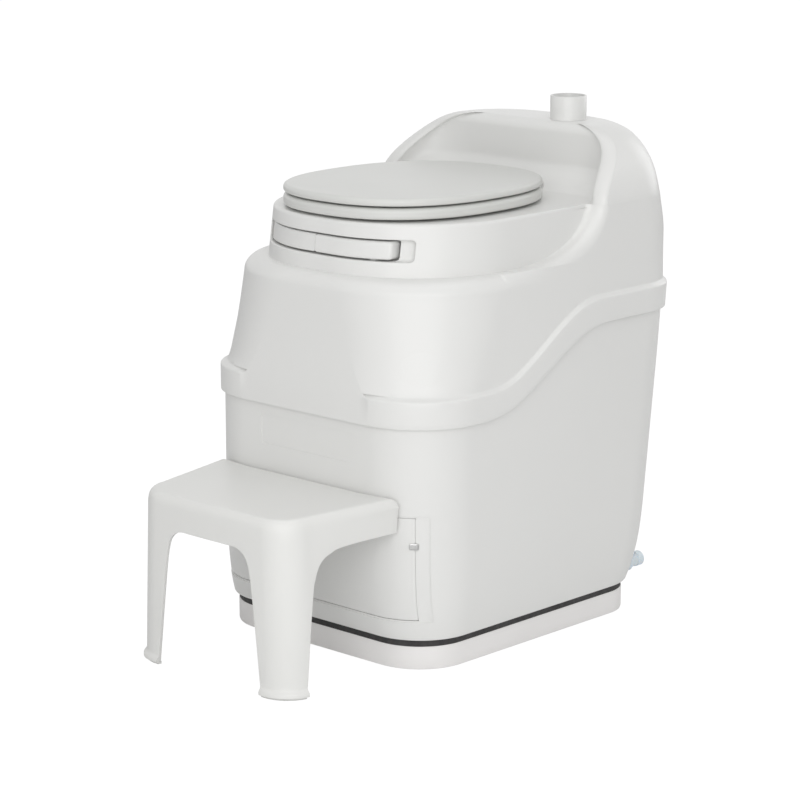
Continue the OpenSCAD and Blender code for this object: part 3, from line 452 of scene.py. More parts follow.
def front_at(kind, z, x, t):
    """y of the front surface at width x and height z, t inside it: straight, then a circle."""
    if kind == "plain":
        w, yf, rf = half_w(z) - t, face_y(z) + t, corner(z) - t
    else:
        w, yf, rf = ped_w(z) - t, ped_front(z) + t, PED_R - t
    over = np.clip(abs(x) - (w - rf), 0, rf * 0.9999)
    return yf + rf - np.sqrt(rf * rf - over * over)


def panel(name, kind, x, z, r, layers, size=(70, 24)):
    """A round-cornered plate or hollow on the curved front. Its outline, set over x and z,
    is drawn at every (depth, inset) pair of layers, and a grid closes the first and last."""
    m, n = size
    a, v = degrees(0, 90, 8), np.linspace(0, 1, n)[:, None]
    index = np.arange(n * m).reshape(n, m)
    rim = np.concatenate([index[0], index[1:, -1], index[-1, -2::-1], index[-2:0:-1, 0]])
    verts, rings, base = [], [], 0
    for k, (t, d) in enumerate(layers):
        rr = max(r - d, 0.3)
        x0, x1, z0, z1 = x[0] + d, x[1] - d, z[0] + d, z[1] - d
        turn = rr * (1 - np.cos(a))
        middle = np.linspace(x0 + rr, x1 - rr, m - 14)[1:-1]
        xs = np.concatenate([x0 + turn, middle, (x1 - turn)[::-1]])
        over = np.clip(np.maximum(x0 + rr - xs, xs - x1 + rr), 0, rr)
        drop = rr - np.sqrt(rr * rr - over * over)
        px, pz = np.broadcast_to(xs, (n, m)), z0 + drop + (z1 - z0 - 2 * drop) * v
        grid = np.stack([px, front_at(kind, pz, px, t), pz], axis=-1).reshape(-1, 3)
        end = k in (0, len(layers) - 1)
        verts.append(grid if end else grid[rim])
        rings.append(base + (rim if end else np.arange(len(rim))))
        base += len(verts[-1])
    near, far = index[:-1], index[1:]
    quads = np.stack([near[:, :-1], near[:, 1:], far[:, 1:], far[:, :-1]], axis=-1).reshape(-1, 4)
    faces = [quads, quads + base - n * m]
    for p, q in zip(rings[:-1], rings[1:]):
        faces.append(np.stack([p, np.roll(p, -1), np.roll(q, -1), q], axis=-1))
    made = put(name, np.concatenate(verts), np.concatenate(faces).tolist())
    return tidy_mesh(made, recalc=True)


def rolled(t, d, r, n=5):
    """(depth, inset) pairs of an outer edge of radius r, from the side to the face."""
    return [(t + r * (1 - math.sin(b)), d + r * (1 - math.cos(b))) for b in degrees(0, 90, n)]


def rod(name, start, end, r, n=48):
    """A closed round bar between two points."""
    start, end = np.asarray(start, float), np.asarray(end, float)
    axis = (end - start) / np.linalg.norm(end - start)
    side = np.cross(axis, [0.0, 0.0, 1.0] if abs(axis[2]) < 0.9 else [1.0, 0.0, 0.0])
    side /= np.linalg.norm(side)
    other = np.cross(axis, side)
    a = 2 * np.pi * np.arange(n) / n
    circle = r * (np.cos(a)[:, None] * side + np.sin(a)[:, None] * other)
    return tidy_mesh(loft(name, [start + circle, end + circle]), True)


def spline(points, n=12):
    """Catmull-Rom curve through the points, n steps a span."""
    p = np.asarray(points, float)
    p = np.vstack([2 * p[0] - p[1], p, 2 * p[-1] - p[-2]])
    u = (np.arange(n) / n)[:, None]
    out = []
    for a, b, c, d in zip(p[:-3], p[1:-2], p[2:-1], p[3:]):
        square, cube = 2 * a - 5 * b + 4 * c - d, 3 * b - a - 3 * c + d
        out.append(0.5 * (2 * b + (c - a) * u + square * u**2 + cube * u**3))
    return np.vstack(out + [p[-2:-1]])


def bevel(obj, width, segments=3, angle=40.0):
    """Rounds the edges sharper than the angle."""
    mod = obj.modifiers.new("edges", "BEVEL")
    mod.width, mod.segments, mod.limit_method = width * MM, segments, "ANGLE"
    mod.angle_limit = math.radians(angle)
    mod.harden_normals = False
    apply_modifiers(obj)
    finish_shading(obj, 35.0)
    return obj


def join(name, objs):
    """Puts several meshes into one object."""
    verts, faces, base = [], [], 0
    for o in objs:
        n = len(o.data.vertices)
        co = np.empty(n * 3)
        o.data.vertices.foreach_get("co", co)
        verts.append(co.reshape(-1, 3) / MM)
        faces += [[base + v for v in p.vertices] for p in o.data.polygons]
        base += n
        bpy.data.objects.remove(o)
    return put(name, np.concatenate(verts), faces)


def fit_out(obj, body, slot, *nodes):
    """Rides on its body, replaces its nodes and takes its finish in one go."""
    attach(obj, body)
    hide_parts(*nodes)
    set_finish(obj, slot)


# ------------------------------------------------------------------ lower housing
DRAWER_Z0, DRAWER_Z1, DRAWER_X = 84.0, 250.0, 210.0
FIELD_X, FIELD_Z = 101, (324, 372)
STOOL_H, HOOK_X, HOOK_W, HOOK_T = 279.0, 60.0, 32.0, 5.0
HOOK_Z = STOOL_H - 12
DRAIN, DRAIN_HOLE = (210.0, FRONT + 549, 72.0), 15.8
GLAND_X, GLAND_Z, GLAND_HOLE = -150.0, 172.0, 9.3
FOOT_IN, FOOT_T, TUCK_TOP = 24, 5, SEAL_Z + TUCK_H


def gland_hole():
    """A bar square to the leaning back, through the wall where the cord's gland sits."""
    y0, y1 = float(rear_y(145.0)), float(rear_y(200.0))
    slope = math.atan((y1 - y0) / 55)
    hub = np.array([GLAND_X, y0 + (y1 - y0) * 27 / 55, GLAND_Z])
    out = np.array([0, math.cos(slope), -math.sin(slope)]) * 30
    return rod("c", hub - out, hub + out, GLAND_HOLE)


def lower_housing():
    """Wall between an outer and an inner skin, open at both ends, with a foot turned in."""
    top, foot_z = HI - WALL - GAP, SEAL_Z + FOOT_T
    inner = [level(z, WALL) for z in (top, TUCK_TOP, 170, 145, 125, 110, 95, 84)]
    inner += [level(foot_z, WALL), level(foot_z, FOOT_IN, foot_z - 0.01)]
    foot = [level(SEAL_Z, FOOT_IN), level(SEAL_Z, 1.2), level(SEAL_Z, 0.3, SEAL_Z + 0.4)]
    outer = [level(z) for z in np.linspace(SEAL_Z + 1.5, TUCK_TOP, 26)]
    outer += [level(TUCK_TOP + (top - TUCK_TOP) * u) for u in np.linspace(0.08, 1, 14)]
    obj = loft("lower_housing", inner + foot + outer, wrap=True)
    tidy_mesh(obj)
    lo = (-DRAWER_X - GAP, FRONT - 20, DRAWER_Z0 - GAP)
    cut(obj, block("c", lo, (DRAWER_X + GAP, FRONT + 80, DRAWER_Z1 + GAP)))
    around = (DRAWER_Z0 - 3, DRAWER_Z1 + 3)
    cut(obj, panel("c", "plain", (-227, 227), around, 4, [(-6, 0), (1.5, 0)], (120, 40)))
    cut(obj, panel("c", "plain", (-FIELD_X, FIELD_X), FIELD_Z, 5, [(-6, 0), (1.2, 0)], (30, 8)))
    for x in (-HOOK_X, HOOK_X):
        lo = (x - HOOK_W / 2 - GAP, FRONT - 5, HOOK_Z - HOOK_T - GAP)
        cut(obj, block("c", lo, (x + HOOK_W / 2 + GAP, FRONT + 20, HOOK_Z + GAP)))
    x, y, z = DRAIN
    cut(obj, rod("c", (x, y - 60, z), (x, y + 50, z), DRAIN_HOLE))
    cut(obj, gland_hole())
    finish_shading(obj, 30)
    return obj


# ------------------------------------------------------------------ upper housing
DRUM_Z, DRUM_R = 443.0, 162.0
CRANK_Z = DRUM_Z + 210.0
POCKET_XS, POCKET_ZS, POCKET_D = (-157.0, 157.0), (CRANK_Z - 17, CRANK_Z + 17), 30.0
VENT = (57.0, FRONT + 564)
SEAT_Y, SEAT_W, SEAT_L = FRONT + 248, 362.0, 425.0
CHUTE_W, CHUTE_L, CHUTE_Y = 216.0, 256.0, SEAT_Y + 4
HINGE_Y, HINGE_Z = SEAT_Y + SEAT_L / 2 - 8, DECK_Z + 14
EDGE_R, FOOT_R = 5.0, 10.0


def inner_skin():
    """Rings from the console's inside down to the band's underside."""
    heights = (CONSOLE_Z, 800, 796, 788, 776, 762, 744, 723, 706, DECK_Z)
    rings = [ring(console(z, WALL), z - WALL) for z in heights]
    rings += [ring(keyhole(DECK_Z, WALL), DECK_Z - WALL - 0.01)]
    rings += [ring(keyhole(z, WALL), z) for z in (676, 650, 636, 627, 621, 617, 614)]
    rings += [shoulder(a, WALL) for a in (90, 65, 40, 20, 0)]
    rings += [along(HI - WALL + 2, 0, WALL), along(HI - WALL, BAND_OUT, WALL)]
    return rings + [along(LO, BAND_OUT, WALL)]


def band_and_walls():
    """Rings up the outside: the band, its sloped top, the walls and the shoulder."""
    edge = ((0.0, 1.2), (0.35, 0.35), (1.2, 0.0))
    rings = [along(LO + lift, BAND_OUT - inset) for lift, inset in edge]
    rings += [along(LO + 1.2 + (HI - 4.2 - LO) * u, BAND_OUT) for u in np.linspace(0.2, 1, 5)]
    rings += [along(HI - 3 + 8 * u, BAND_OUT * (1 - smooth(u))) for u in np.linspace(0.1, 1, 10)]
    rings += [along(HI + 5 + (EDGE_Z - HI - 5) * u) for u in np.linspace(0.04, 0.97, 26)]
    return rings + [shoulder(a) for a in np.linspace(0, 90, 15)]


def pedestal_and_console():
    """Rings up the pedestal, over its rounded edge, in over the deck and up the console."""
    climb = DECK_Z - EDGE_R - SHOULDER_Z
    rings = [ring(keyhole(z), z) for z in SHOULDER_Z + climb * np.linspace(0.02, 1, 38) ** 1.5]
    for a in degrees(15, 90, 6):
        z = DECK_Z - EDGE_R + EDGE_R * math.sin(a)
        rings.append(ring(keyhole(z, 0, EDGE_R * (1 - math.cos(a))), z))
    low, high = keyhole(DECK_Z, 0, EDGE_R), console(DECK_Z, 0, -FOOT_R)
    rings += [ring(low * (1 - u) + high * u, DECK_Z + 0.002 * u) for u in np.linspace(0.08, 1, 12)]
    for a in degrees(15, 90, 6):
        z = DECK_Z + FOOT_R * (1 - math.cos(a))
        rings.append(ring(console(z, 0, -FOOT_R * (1 - math.sin(a))), z))
    steep = math.acos(1 - (CONSOLE_Z - DECK_Z - FOOT_R) / CONSOLE_R)
    heights = CONSOLE_Z - CONSOLE_R * (1 - np.cos(np.linspace(steep * 0.98, 0, 52)))
    return rings + [ring(console(z), z) for z in heights]


def upper_housing():
    """One skin from the console's inside down to the band and up the outside again."""
    obj = loft("upper_housing", inner_skin() + band_and_walls() + pedestal_and_console())
    tidy_mesh(obj)
    mouth = [(-12, -2)] + [(2 - 2 * math.cos(a), 2 * math.sin(a) - 2) for a in degrees(0, 90, 6)]
    mouth.append((WALL + 4, 0))
    cut(obj, panel("c", "pedestal", POCKET_XS, POCKET_ZS, 6, mouth, (110, 8)))
    cut(obj, prism("c", oval(CHUTE_W, CHUTE_L, 0, 120, CHUTE_Y), DECK_Z - 20, DECK_Z + 20))
    cut(obj, rod("c", (*VENT, CONSOLE_Z - 60), (*VENT, CONSOLE_Z + 20), 29.85, 72))
    finish_shading(obj, 30)
    return obj


fit_out(lower_housing(), "housing", "shell_white", "lower_shell")
fit_out(upper_housing(), "housing", "shell_white", "upper_shell")

# ------------------------------------------------------------------ drawer front and its catch
drawer_zs = (DRAWER_Z0 + GAP, DRAWER_Z1 - GAP)
drawer_panel = panel("drawer_panel", "plain", (-209.5, 209.5), drawer_zs, 2.5,
                     [(6.5, 0)] + rolled(1.0, 0, 1.6), (110, 36))
fit_out(drawer_panel, "drawer", "shell_white", "drawer_front")

# ------------------------------------------------------------------ crank in its pocket
FINGER_X, FINGER_D, GRIP_H, BORE_R = 132.0, 12.0, 28.0, 15.5
PEG, SPLIT_X = 5.5, -12
BAR_ZS = (CRANK_Z - GRIP_H / 2, CRANK_Z + GRIP_H / 2)


def pocket_lining():
    """A curved trough behind the wall, deep behind the crank and shallow at the grip's end."""
    near = (WALL + 2 * GAP, -3)
    span, deep_span = POCKET_XS, (POCKET_XS[0], FINGER_X + 3)
    shallow, deep = [(FINGER_D + 3, -3), near], [(POCKET_D + 3, -3), near]
    obj = panel("pocket_lining", "pedestal", span, POCKET_ZS, 6, shallow, (110, 8))
    cut(obj, panel("c", "pedestal", deep_span, POCKET_ZS, 6, deep, (110, 8)), "UNION")
    sunk = [(2, 0)] + [(-4 + 4 * math.sin(a), 4 - 4 * math.cos(a)) for a in degrees(0, 90, 6)]
    for end, depth in ((POCKET_XS[1], FINGER_D), (FINGER_X, POCKET_D)):
        layers = [(t + depth if k else t, d) for k, (t, d) in enumerate(sunk)]
        cut(obj, panel("c", "pedestal", (POCKET_XS[0], end), POCKET_ZS, 6, layers, (110, 8)))
    cut(obj, rod("c", (0, FRONT, CRANK_Z), (0, FRONT + 120, CRANK_Z), BORE_R, 64))
    return obj


def rib(x):
    """One of the two ledges in the pocket that the crank lies on."""
    zs = (POCKET_ZS[0] - 0.5, CRANK_Z - GRIP_H / 2 - GAP)
    layers = [(POCKET_D + 1, 0)] + rolled(12, 0, 0.7)
    return panel("rib", "pedestal", (x, x + 8), zs, 0.8, layers, (22, 3))


def crank_bar():
    """The flat bar left of the grip, its core inside the grip, and the peg behind."""
    bar_layers = [(16, 0.5), (15, 0)] + rolled(4, 0, 2, 6)
    bar = panel("crank_bar", "pedestal", (-154, SPLIT_X - GAP), BAR_ZS, 4, bar_layers, (80, 8))
    core_zs = (CRANK_Z - 6, CRANK_Z + 6)
    core = panel("core", "pedestal", (SPLIT_X - 2, 121), core_zs, 1, [(12, 0), (7, 0)], (60, 3))
    y = ped_front(CRANK_Z)
    peg = block("peg", (-PEG, y + 10, CRANK_Z - PEG), (PEG, y + POCKET_D - 1 - GAP, CRANK_Z + PEG))
    return join("crank_bar", [bar, core, peg])


ribs = [rib(x) for x in (-100, 90)]
pocket = join("pocket_lining", [pocket_lining()] + ribs)
fit_out(pocket, "housing", "shell_white", "crank_pocket")
grip_layers = [(18, 0.5), (17, 0)] + rolled(1.5, 0, 3.5, 7)
grip = panel("crank_handle_grip", "pedestal", (SPLIT_X, 127), BAR_ZS, 5, grip_layers, (80, 8))
fit_out(grip, "crank", "shell_white", "crank_grip")
fit_out(crank_bar(), "crank", "shell_white", "crank_arm")

tab_layers = [(0.7, 0)] + rolled(-1.5, 0, 1.2)
tab = panel("catch_tab", "plain", (203.5, 214.5), (200, 210), 1.5, tab_layers, (24, 6))
stem = panel("stem", "plain", (202.5, 206.5), (202, 208), 0.5, [(15, 0), (0.5, 0)], (20, 4))
fit_out(join("catch_tab", [tab, stem]), "drawer", "steel", "drawer_catch")

# ------------------------------------------------------------------ seat and lid
RING_Z0, RING_Z1 = DECK_Z + 4, DECK_Z + 22
LID_Z0, LID_T = RING_Z1 + 3, 15.0
HOLE_W, HOLE_L, RING_R = 216.0, 262.0, 7
BARREL_R = 8


def rim_arc(r, z_mid, n=7):
    """(inset, height) pairs of a quarter round of radius r, from the side to the top."""
    return [(r * (1 - math.cos(b)), z_mid + r * math.sin(b)) for b in degrees(0, 90, n)]


def hinge_lug(x0, x1, back, z_top):
    """Barrel round the pin with a web to the part above it, extruded along x."""
    a = degrees(-60, 88, 20)
    y, z = HINGE_Y + BARREL_R * np.cos(a), HINGE_Z + BARREL_R * np.sin(a)
    web = [(HINGE_Y, z_top), (HINGE_Y - back, z_top), (HINGE_Y - back, HINGE_Z - 2)]
    web.append((HINGE_Y - 6, HINGE_Z - 5.5))
    yz = np.concatenate([np.column_stack([y, z]), web])
    rings = [np.column_stack([np.full(len(yz), x), yz]) for x in (x0, x1)]
    return bevel(tidy_mesh(loft("lug", rings), True), 0.8, 2)


def seat_outer(inset_z, n=200):
    return [at_z(oval(SEAT_W, SEAT_L, d, n, SEAT_Y), z) for d, z in inset_z]


def seat_hole(inset_z, n=200):
    return [at_z(oval(HOLE_W, HOLE_L, -d, n, SEAT_Y), z) for d, z in inset_z]


def seat_loop():
    """Closed section swept round the seat: outer roll, flat top, inner roll, flat underside."""
    roll_up = rim_arc(RING_R, RING_Z1 - RING_R)
    rings = seat_hole([(2, RING_Z0)])
    rings += seat_outer([(5, RING_Z0), (2, RING_Z0 + 0.8), (0.5, RING_Z0 + 2.5)])
    rings += seat_outer([(0, z) for z in np.linspace(RING_Z0 + 5, RING_Z1 - RING_R, 4)])
    rings += seat_outer(roll_up[1:])
    outer_w, outer_l = SEAT_W - 2 * RING_R, SEAT_L - 2 * RING_R
    for u in np.linspace(0.12, 0.88, 9):
        w = outer_w + (HOLE_W + 2 * RING_R - outer_w) * u
        l = outer_l + (HOLE_L + 2 * RING_R - outer_l) * u
        rings.append(at_z(oval(w, l, 0, 200, SEAT_Y), RING_Z1))
    rings += seat_hole(roll_up[::-1] + [(0, RING_Z0 + 2)])
    obj = tidy_mesh(loft("seat_loop", rings, wrap=True), True)
    for s in (-78, 78):
        cut(obj, block("c", (s - 33, HINGE_Y - 16, 0), (s + 33, 600, 900)))
    finish_shading(obj, 35)
    return obj


def lid_form():
    """Shallow dome over the superellipse with a rolled rim."""
    side = LID_Z0 + LID_T - 8.5
    rim = [(7 * (1 - math.cos(a)), side + 6.2 * math.sin(a)) for a in degrees(12, 90, 8)]
    crown = np.linspace(0.03, 0.95, 26)
    dome = [(7 + 170 * u, side + 6.2 + 2.3 * (1 - (1 - u) ** 2)) for u in crown]
    foot = [(8, LID_Z0), (3, LID_Z0 + 0.3), (1, LID_Z0 + 1.4), (0.1, LID_Z0 + 3), (0, LID_Z0 + 5)]
    return tidy_mesh(loft("lid_form", seat_outer(foot + [(0, side)] + rim + dome)))


def lug_pair(x0, x1, back, z_top):
    """The same lug on both sides."""
    return [hinge_lug(x0, x1, back, z_top), hinge_lug(-x1, -x0, back, z_top)]


seat = join("seat_loop", [seat_loop()] + lug_pair(46, 61, 24, RING_Z1 - 0.05))
fit_out(seat, "seat", "lid_white", "seat_ring")
fit_out(lid_form(), "lid", "lid_white", "seat_lid")
arms = join("lid_arms", lug_pair(79, 94, 15.7, LID_Z0 - 0.1))
fit_out(arms, "lid", "lid_white", "lid_hinge_arms")

# ------------------------------------------------------------------ step stool
STOOL_F, STOOL_B = FRONT - STOOL_REACH, FRONT - 1
STOOL_W, STOOL_R, STOOL_T, LIP = 350.0, 52.0, 5.0, 5.0
PAD_T, APRON_Z, LEG_X, LEG_Y = 4.0, STOOL_H - 54, 116, 46
STOOL_TILT, HEEL_X, TIP_OUT = 0.016, 139, 29


def stool_ring(z, t, drop=0.0):
    """Outline at height z, t inwards: round front corners, rear corners spread to the sides,
    narrower and set back towards the top, and tilted up a little towards the housing."""
    g = 1 - z / STOOL_H
    w, r, e = STOOL_W / 2 - 9 * (1 - g) - t, STOOL_R - t, 7 * (1 - g)
    yf = STOOL_F + 7 * (1 - g) + LIP * g + t
    a = degrees(-90, 0, 22)
    front = np.column_stack([np.linspace(0, w - r, 12)[:-1], np.full(11, yf)])
    right = np.column_stack([w - r + r * np.cos(a), yf + r + r * np.sin(a)])
    tip, heel = [w + TIP_OUT * (1 - g), STOOL_B + e - t], [HEEL_X - t, STOOL_B - t]
    side, back = np.linspace(right[-1], tip, 14)[1:], np.linspace(tip, heel, 5)[1:]
    half = np.concatenate([front, right, side, back, np.linspace(heel, [0, STOOL_B - t], 8)[1:]])
    flat = np.concatenate([half, half[-2:0:-1] * [-1, 1]])
    tilt = 1 + STOOL_TILT * (flat[:, 1] - STOOL_F) / STOOL_REACH
    return np.column_stack([flat, z * tilt - drop])


def front_arch():
    """The hollow under the front apron, carried along y."""
    leg = [(-LEG_X, -1), (-98, 148), (-90, 196), (-80, 216)]
    arch = spline(leg + [(-62, APRON_Z), (-40, APRON_Z + 0.5)], 8)
    arch = np.vstack([arch, arch[::-1] * [-1, 1]])
    ends = (STOOL_F - 10, STOOL_F + 50)
    rings = [np.column_stack([arch[:, 0], np.full(len(arch), y), arch[:, 1]]) for y in ends]
    return tidy_mesh(loft("c", rings), True)


def side_arch():
    """The hollow under the side aprons, open to the housing, carried along x."""
    leg = [(LEG_Y, -1), (63, 150), (70, 185), (80, 206), (98, 218)]
    side = spline(leg + [(130, APRON_Z), (240, APRON_Z + 4)], 8)
    side = np.vstack([side + [STOOL_F, 0], [[600, APRON_Z + 4], [600, -1]]])
    rings = [np.column_stack([np.full(len(side), x), side]) for x in (-300, 300)]
    return tidy_mesh(loft("c", rings), True)


def stool():
    """Thin shell up the inside, over the lip at the feet, up the outside and over the step."""
    rings = [stool_ring(STOOL_H, STOOL_T + 4, STOOL_T)]
    rings += [stool_ring(z, STOOL_T) for z in np.linspace(STOOL_H - 16, PAD_T, 12)]
    lip = ((0, 0.9), (0.5, 1), (5, 1), (7, 0.8), (9, 0.35), (11, 0.1), (13, 0))
    rings += [stool_ring(PAD_T + dz, -LIP * u) for dz, u in lip]
    rings += [stool_ring(z, 0) for z in np.linspace(PAD_T + 20, STOOL_H - 18, 16)]
    for a in degrees(8, 90, 10):
        rings.append(stool_ring(STOOL_H, 12 * (1 - math.cos(a)), 18 * (1 - math.sin(a))))
    obj = tidy_mesh(loft("stool_shell", rings))
    cut(obj, front_arch())
    cut(obj, side_arch())
    return bevel(obj, 1.2, 3, 50)


def hook(x):
    """One of the two tongues that hold the stool in the housing's slots."""
    lo = (x - HOOK_W / 2, STOOL_B - 3, HOOK_Z - HOOK_T)
    return bevel(block("h", lo, (x + HOOK_W / 2, FRONT + 14, HOOK_Z)), 0.8, 2)


def stool_feet():
    """Pads under the two front legs, in the leg's own outline."""
    rings = [stool_ring(0.0, STOOL_T + 2), stool_ring(0.0, 0.6), stool_ring(0.6, 0.0)]
    rings += [stool_ring(PAD_T, 0.1), stool_ring(PAD_T, STOOL_T + 2)]
    feet = tidy_mesh(loft("stool_feet", rings, wrap=True), True)
    cut(feet, block("c", (-LEG_X, -600, -1), (LEG_X, 600, 20)))
    cut(feet, block("c", (-600, STOOL_F + LEG_Y, -1), (600, 600, 20)))
    finish_shading(feet, 40)
    return feet


stool_piece = join("stool_shell", [stool()] + [hook(x) for x in (-HOOK_X, HOOK_X)])
fit_out(stool_piece, "stool", "stool_white", "step_stool")

# ------------------------------------------------------------------ base tray
TRAY_W, TRAY_L, TRAY_Y, TRAY_H, TRAY_WALL = 464.0, 534.0, FRONT + 20, 38.0, 4
TRAY_R, TRAY_REAR_R = 90, 72


def tray_ring(d, z):
    lo = (-TRAY_W / 2 + d, TRAY_Y + d)
    hi = (TRAY_W / 2 - d, TRAY_Y + TRAY_L - d)
    return at_z(round_box(lo, hi, TRAY_R - d, TRAY_REAR_R - d, 28), z)


TRAY_PROFILE = [
    (TRAY_WALL, 4), (TRAY_WALL, TRAY_H), (1, TRAY_H), (0.3, TRAY_H - 0.3), (0, TRAY_H - 1),
    (0, 12), (0, 3.5), (0.9, 1), (3.4, 0),
]
tray = tidy_mesh(loft("tray_shell", [tray_ring(d, z) for d, z in TRAY_PROFILE]), True)
fit_out(tray, "housing", "tray_white", "base_tray")

# ------------------------------------------------------------------ chute lining and vent
CHUTE_END, LINER_T = DRUM_Z + DRUM_R + 9, 2.5


def chute_lining():
    """A funnel from a flange on the deck down to the drum: out over the flange, then back up."""
    drop, c = DECK_Z - CHUTE_END, GAP + LINER_T
    flange = ((-5, GAP), (-5, 1.1), (-4.5, 1.6), (0.5, 1.6), (1.8, 1.3), (c, 0))
    rings = [(d, DECK_Z + dz) for d, dz in flange]
    for u in np.linspace(0.08, 1, 14):
        rings.append((c + 2 * u + 17.2 * max(0, u - 0.2) / 0.8, DECK_Z - drop * u))
    rings.append((22 - LINER_T, CHUTE_END))
    for u in np.linspace(0.95, 0.1, 12):
        rings.append((c - LINER_T + 17.2 * max(0, u - 0.2) / 0.8 + 2 * u, DECK_Z - drop * u))
    rings.append((GAP, DECK_Z + GAP - 0.01))
    ovals = [at_z(oval(CHUTE_W, CHUTE_L, d, 160, CHUTE_Y), z) for d, z in rings]
    return tidy_mesh(loft("chute_lining", ovals, wrap=True), True)


def vent_pipe():
    """The outlet: a neck through the console's top, a step on it, and a rounded mouth."""
    low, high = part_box("vent_stub")
    base_z, top_z = low[2] / MM, high[2] / MM
    bore, neck, outer, step_z = 27.15, 29.55, 30.15, CONSOLE_Z + 0.1
    profile = [(bore, base_z), (neck, base_z), (neck, step_z), (outer, step_z)]
    mouth = ((outer, 0.8), (29.9, 0.2), (29.3, 0), (28, 0), (27.4, 0.2), (bore, 0.8))
    profile += [(r, top_z - dz) for r, dz in mouth]
    return tidy_mesh(turned("vent_pipe", profile, *VENT), True)


fit_out(chute_lining(), "housing", "inner_plastic", "bowl_liner")
fit_out(vent_pipe(), "housing", "shell_white", "vent_stub")
fit_out(stool_feet(), "stool", "stool_white", "stool_pads")

# ------------------------------------------------------------------ finishes


class Finish:
    """A material built node by node on Object coordinates."""

    def __init__(self, name):
        self.mat = bpy.data.materials.new(name)
        self.mat.use_nodes = True
        self.tree = self.mat.node_tree
        self.shader = self.tree.nodes["Principled BSDF"]
        self.place = self.tree.nodes.new("ShaderNodeTexCoord").outputs["Object"]

    def node(self, kind, **inputs):
        made = self.tree.nodes.new("ShaderNode" + kind)
        for key, value in inputs.items():
            self.feed(made.inputs[key.replace("_", " ")], value)
        return made

    def feed(self, socket, value):
        if isinstance(value, bpy.types.NodeSocket):
            self.tree.links.new(value, socket)
        else:
            socket.default_value = value

    def set(self, **values):
        """Feeds the shader's own inputs, named with underscores for spaces."""
        for key, value in values.items():
            self.feed(self.shader.inputs[key.replace("_", " ")], value)

    def noise(self, scale, detail=2.0, rough=0.5):
        made = self.node("TexNoise", Vector=self.place, Scale=scale, Detail=detail, Roughness=rough)
        return made.outputs["Fac"]

    def ramp(self, fac, *stops):
        made = self.node("ValToRGB", Fac=fac)
        marks = made.color_ramp.elements
        while len(marks) < len(stops):
            marks.new(0.5)
        for mark, (at, colour) in zip(marks, stops):
            mark.position, mark.color = at, (*colour, 1.0)
        return made.outputs["Color"]

    def between(self, fac, low, high):
        """Spreads the middle of a noise, 0.3 to 0.7, over low to high."""
        made = self.node("MapRange", Value=fac, From_Min=0.3, From_Max=0.7, To_Min=low, To_Max=high)
        return made.outputs["Result"]

    def relief(self, height, strength, depth, under=None):
        made = self.node("Bump", Height=height, Strength=strength, Distance=depth)
        if under is not None:
            self.feed(made.inputs["Normal"], under)
        return made.outputs["Normal"]


def tone(rgb, k):
    return tuple(min(1.0, v * k) for v in rgb)


def moulded(name, rgb, rough, wave, grain, vary=0.012, coat=0.0):
    """Glossy or grained moulding: faintly cloudy colour, slow waviness, fine pebble."""
    f = Finish(name)
    stops = ((0.3, tone(rgb, 1 - vary)), (0.55, rgb), (0.75, tone(rgb, 1 + vary)))
    slow = f.relief(f.noise(20.0, 0.5), wave, 0.0008)
    f.set(
        Base_Color=f.ramp(f.noise(2.6, 3.0, 0.5), *stops),
        Roughness=f.between(f.noise(9.0, 1.5, 0.4), *rough),
        Normal=f.relief(f.noise(950.0, 2.0), grain, 0.0003, slow),
        IOR=1.49, Coat_Weight=coat, Coat_Roughness=0.12,
    )
    return f.mat


def rubber(name, rgb):
    """Matt black rubber with bloom and a fine skin."""
    f = Finish(name)
    f.set(
        Base_Color=f.ramp(f.noise(35.0, 5.0, 0.7), (0.3, tone(rgb, 0.75)), (0.7, tone(rgb, 1.35))),
        Roughness=f.between(f.noise(120.0, 3.0), 0.6, 0.82),
        Normal=f.relief(f.noise(1100.0, 2.0), 0.25, 0.0003),
        IOR=1.5,
    )
    return f.mat


def brushed(name, rgb):
    """Steel with fine lines along x and faint smears."""
    f = Finish(name)
    lines = f.node("Mapping", Vector=f.place, Scale=(30.0, 900.0, 900.0)).outputs["Vector"]
    drawn = f.node("TexNoise", Vector=lines, Scale=1.0, Detail=3.0).outputs["Fac"]
    f.set(
        Base_Color=f.ramp(drawn, (0.35, tone(rgb, 0.9)), (0.65, tone(rgb, 1.05))),
        Roughness=f.between(f.noise(25.0, 4.0), 0.26, 0.42),
        Normal=f.relief(drawn, 0.12, 0.0002),
        Metallic=1.0,
    )
    return f.mat


def cloudy(name, rgb):
    """Milky, slightly blue polyethylene that lets some light in."""
    f = Finish(name)
    f.set(
        Base_Color=f.ramp(f.noise(30.0, 4.0), (0.3, tone(rgb, 0.94)), (0.7, tone(rgb, 1.05))),
        Roughness=f.between(f.noise(90.0, 3.0), 0.3, 0.48),
        Normal=f.relief(f.noise(400.0, 2.0), 0.08, 0.0004),
        Subsurface_Weight=0.35, Subsurface_Radius=(0.004, 0.005, 0.006), Subsurface_Scale=0.6,
    )
    return f.mat


SHELL_RGB = (0.80, 0.80, 0.785)
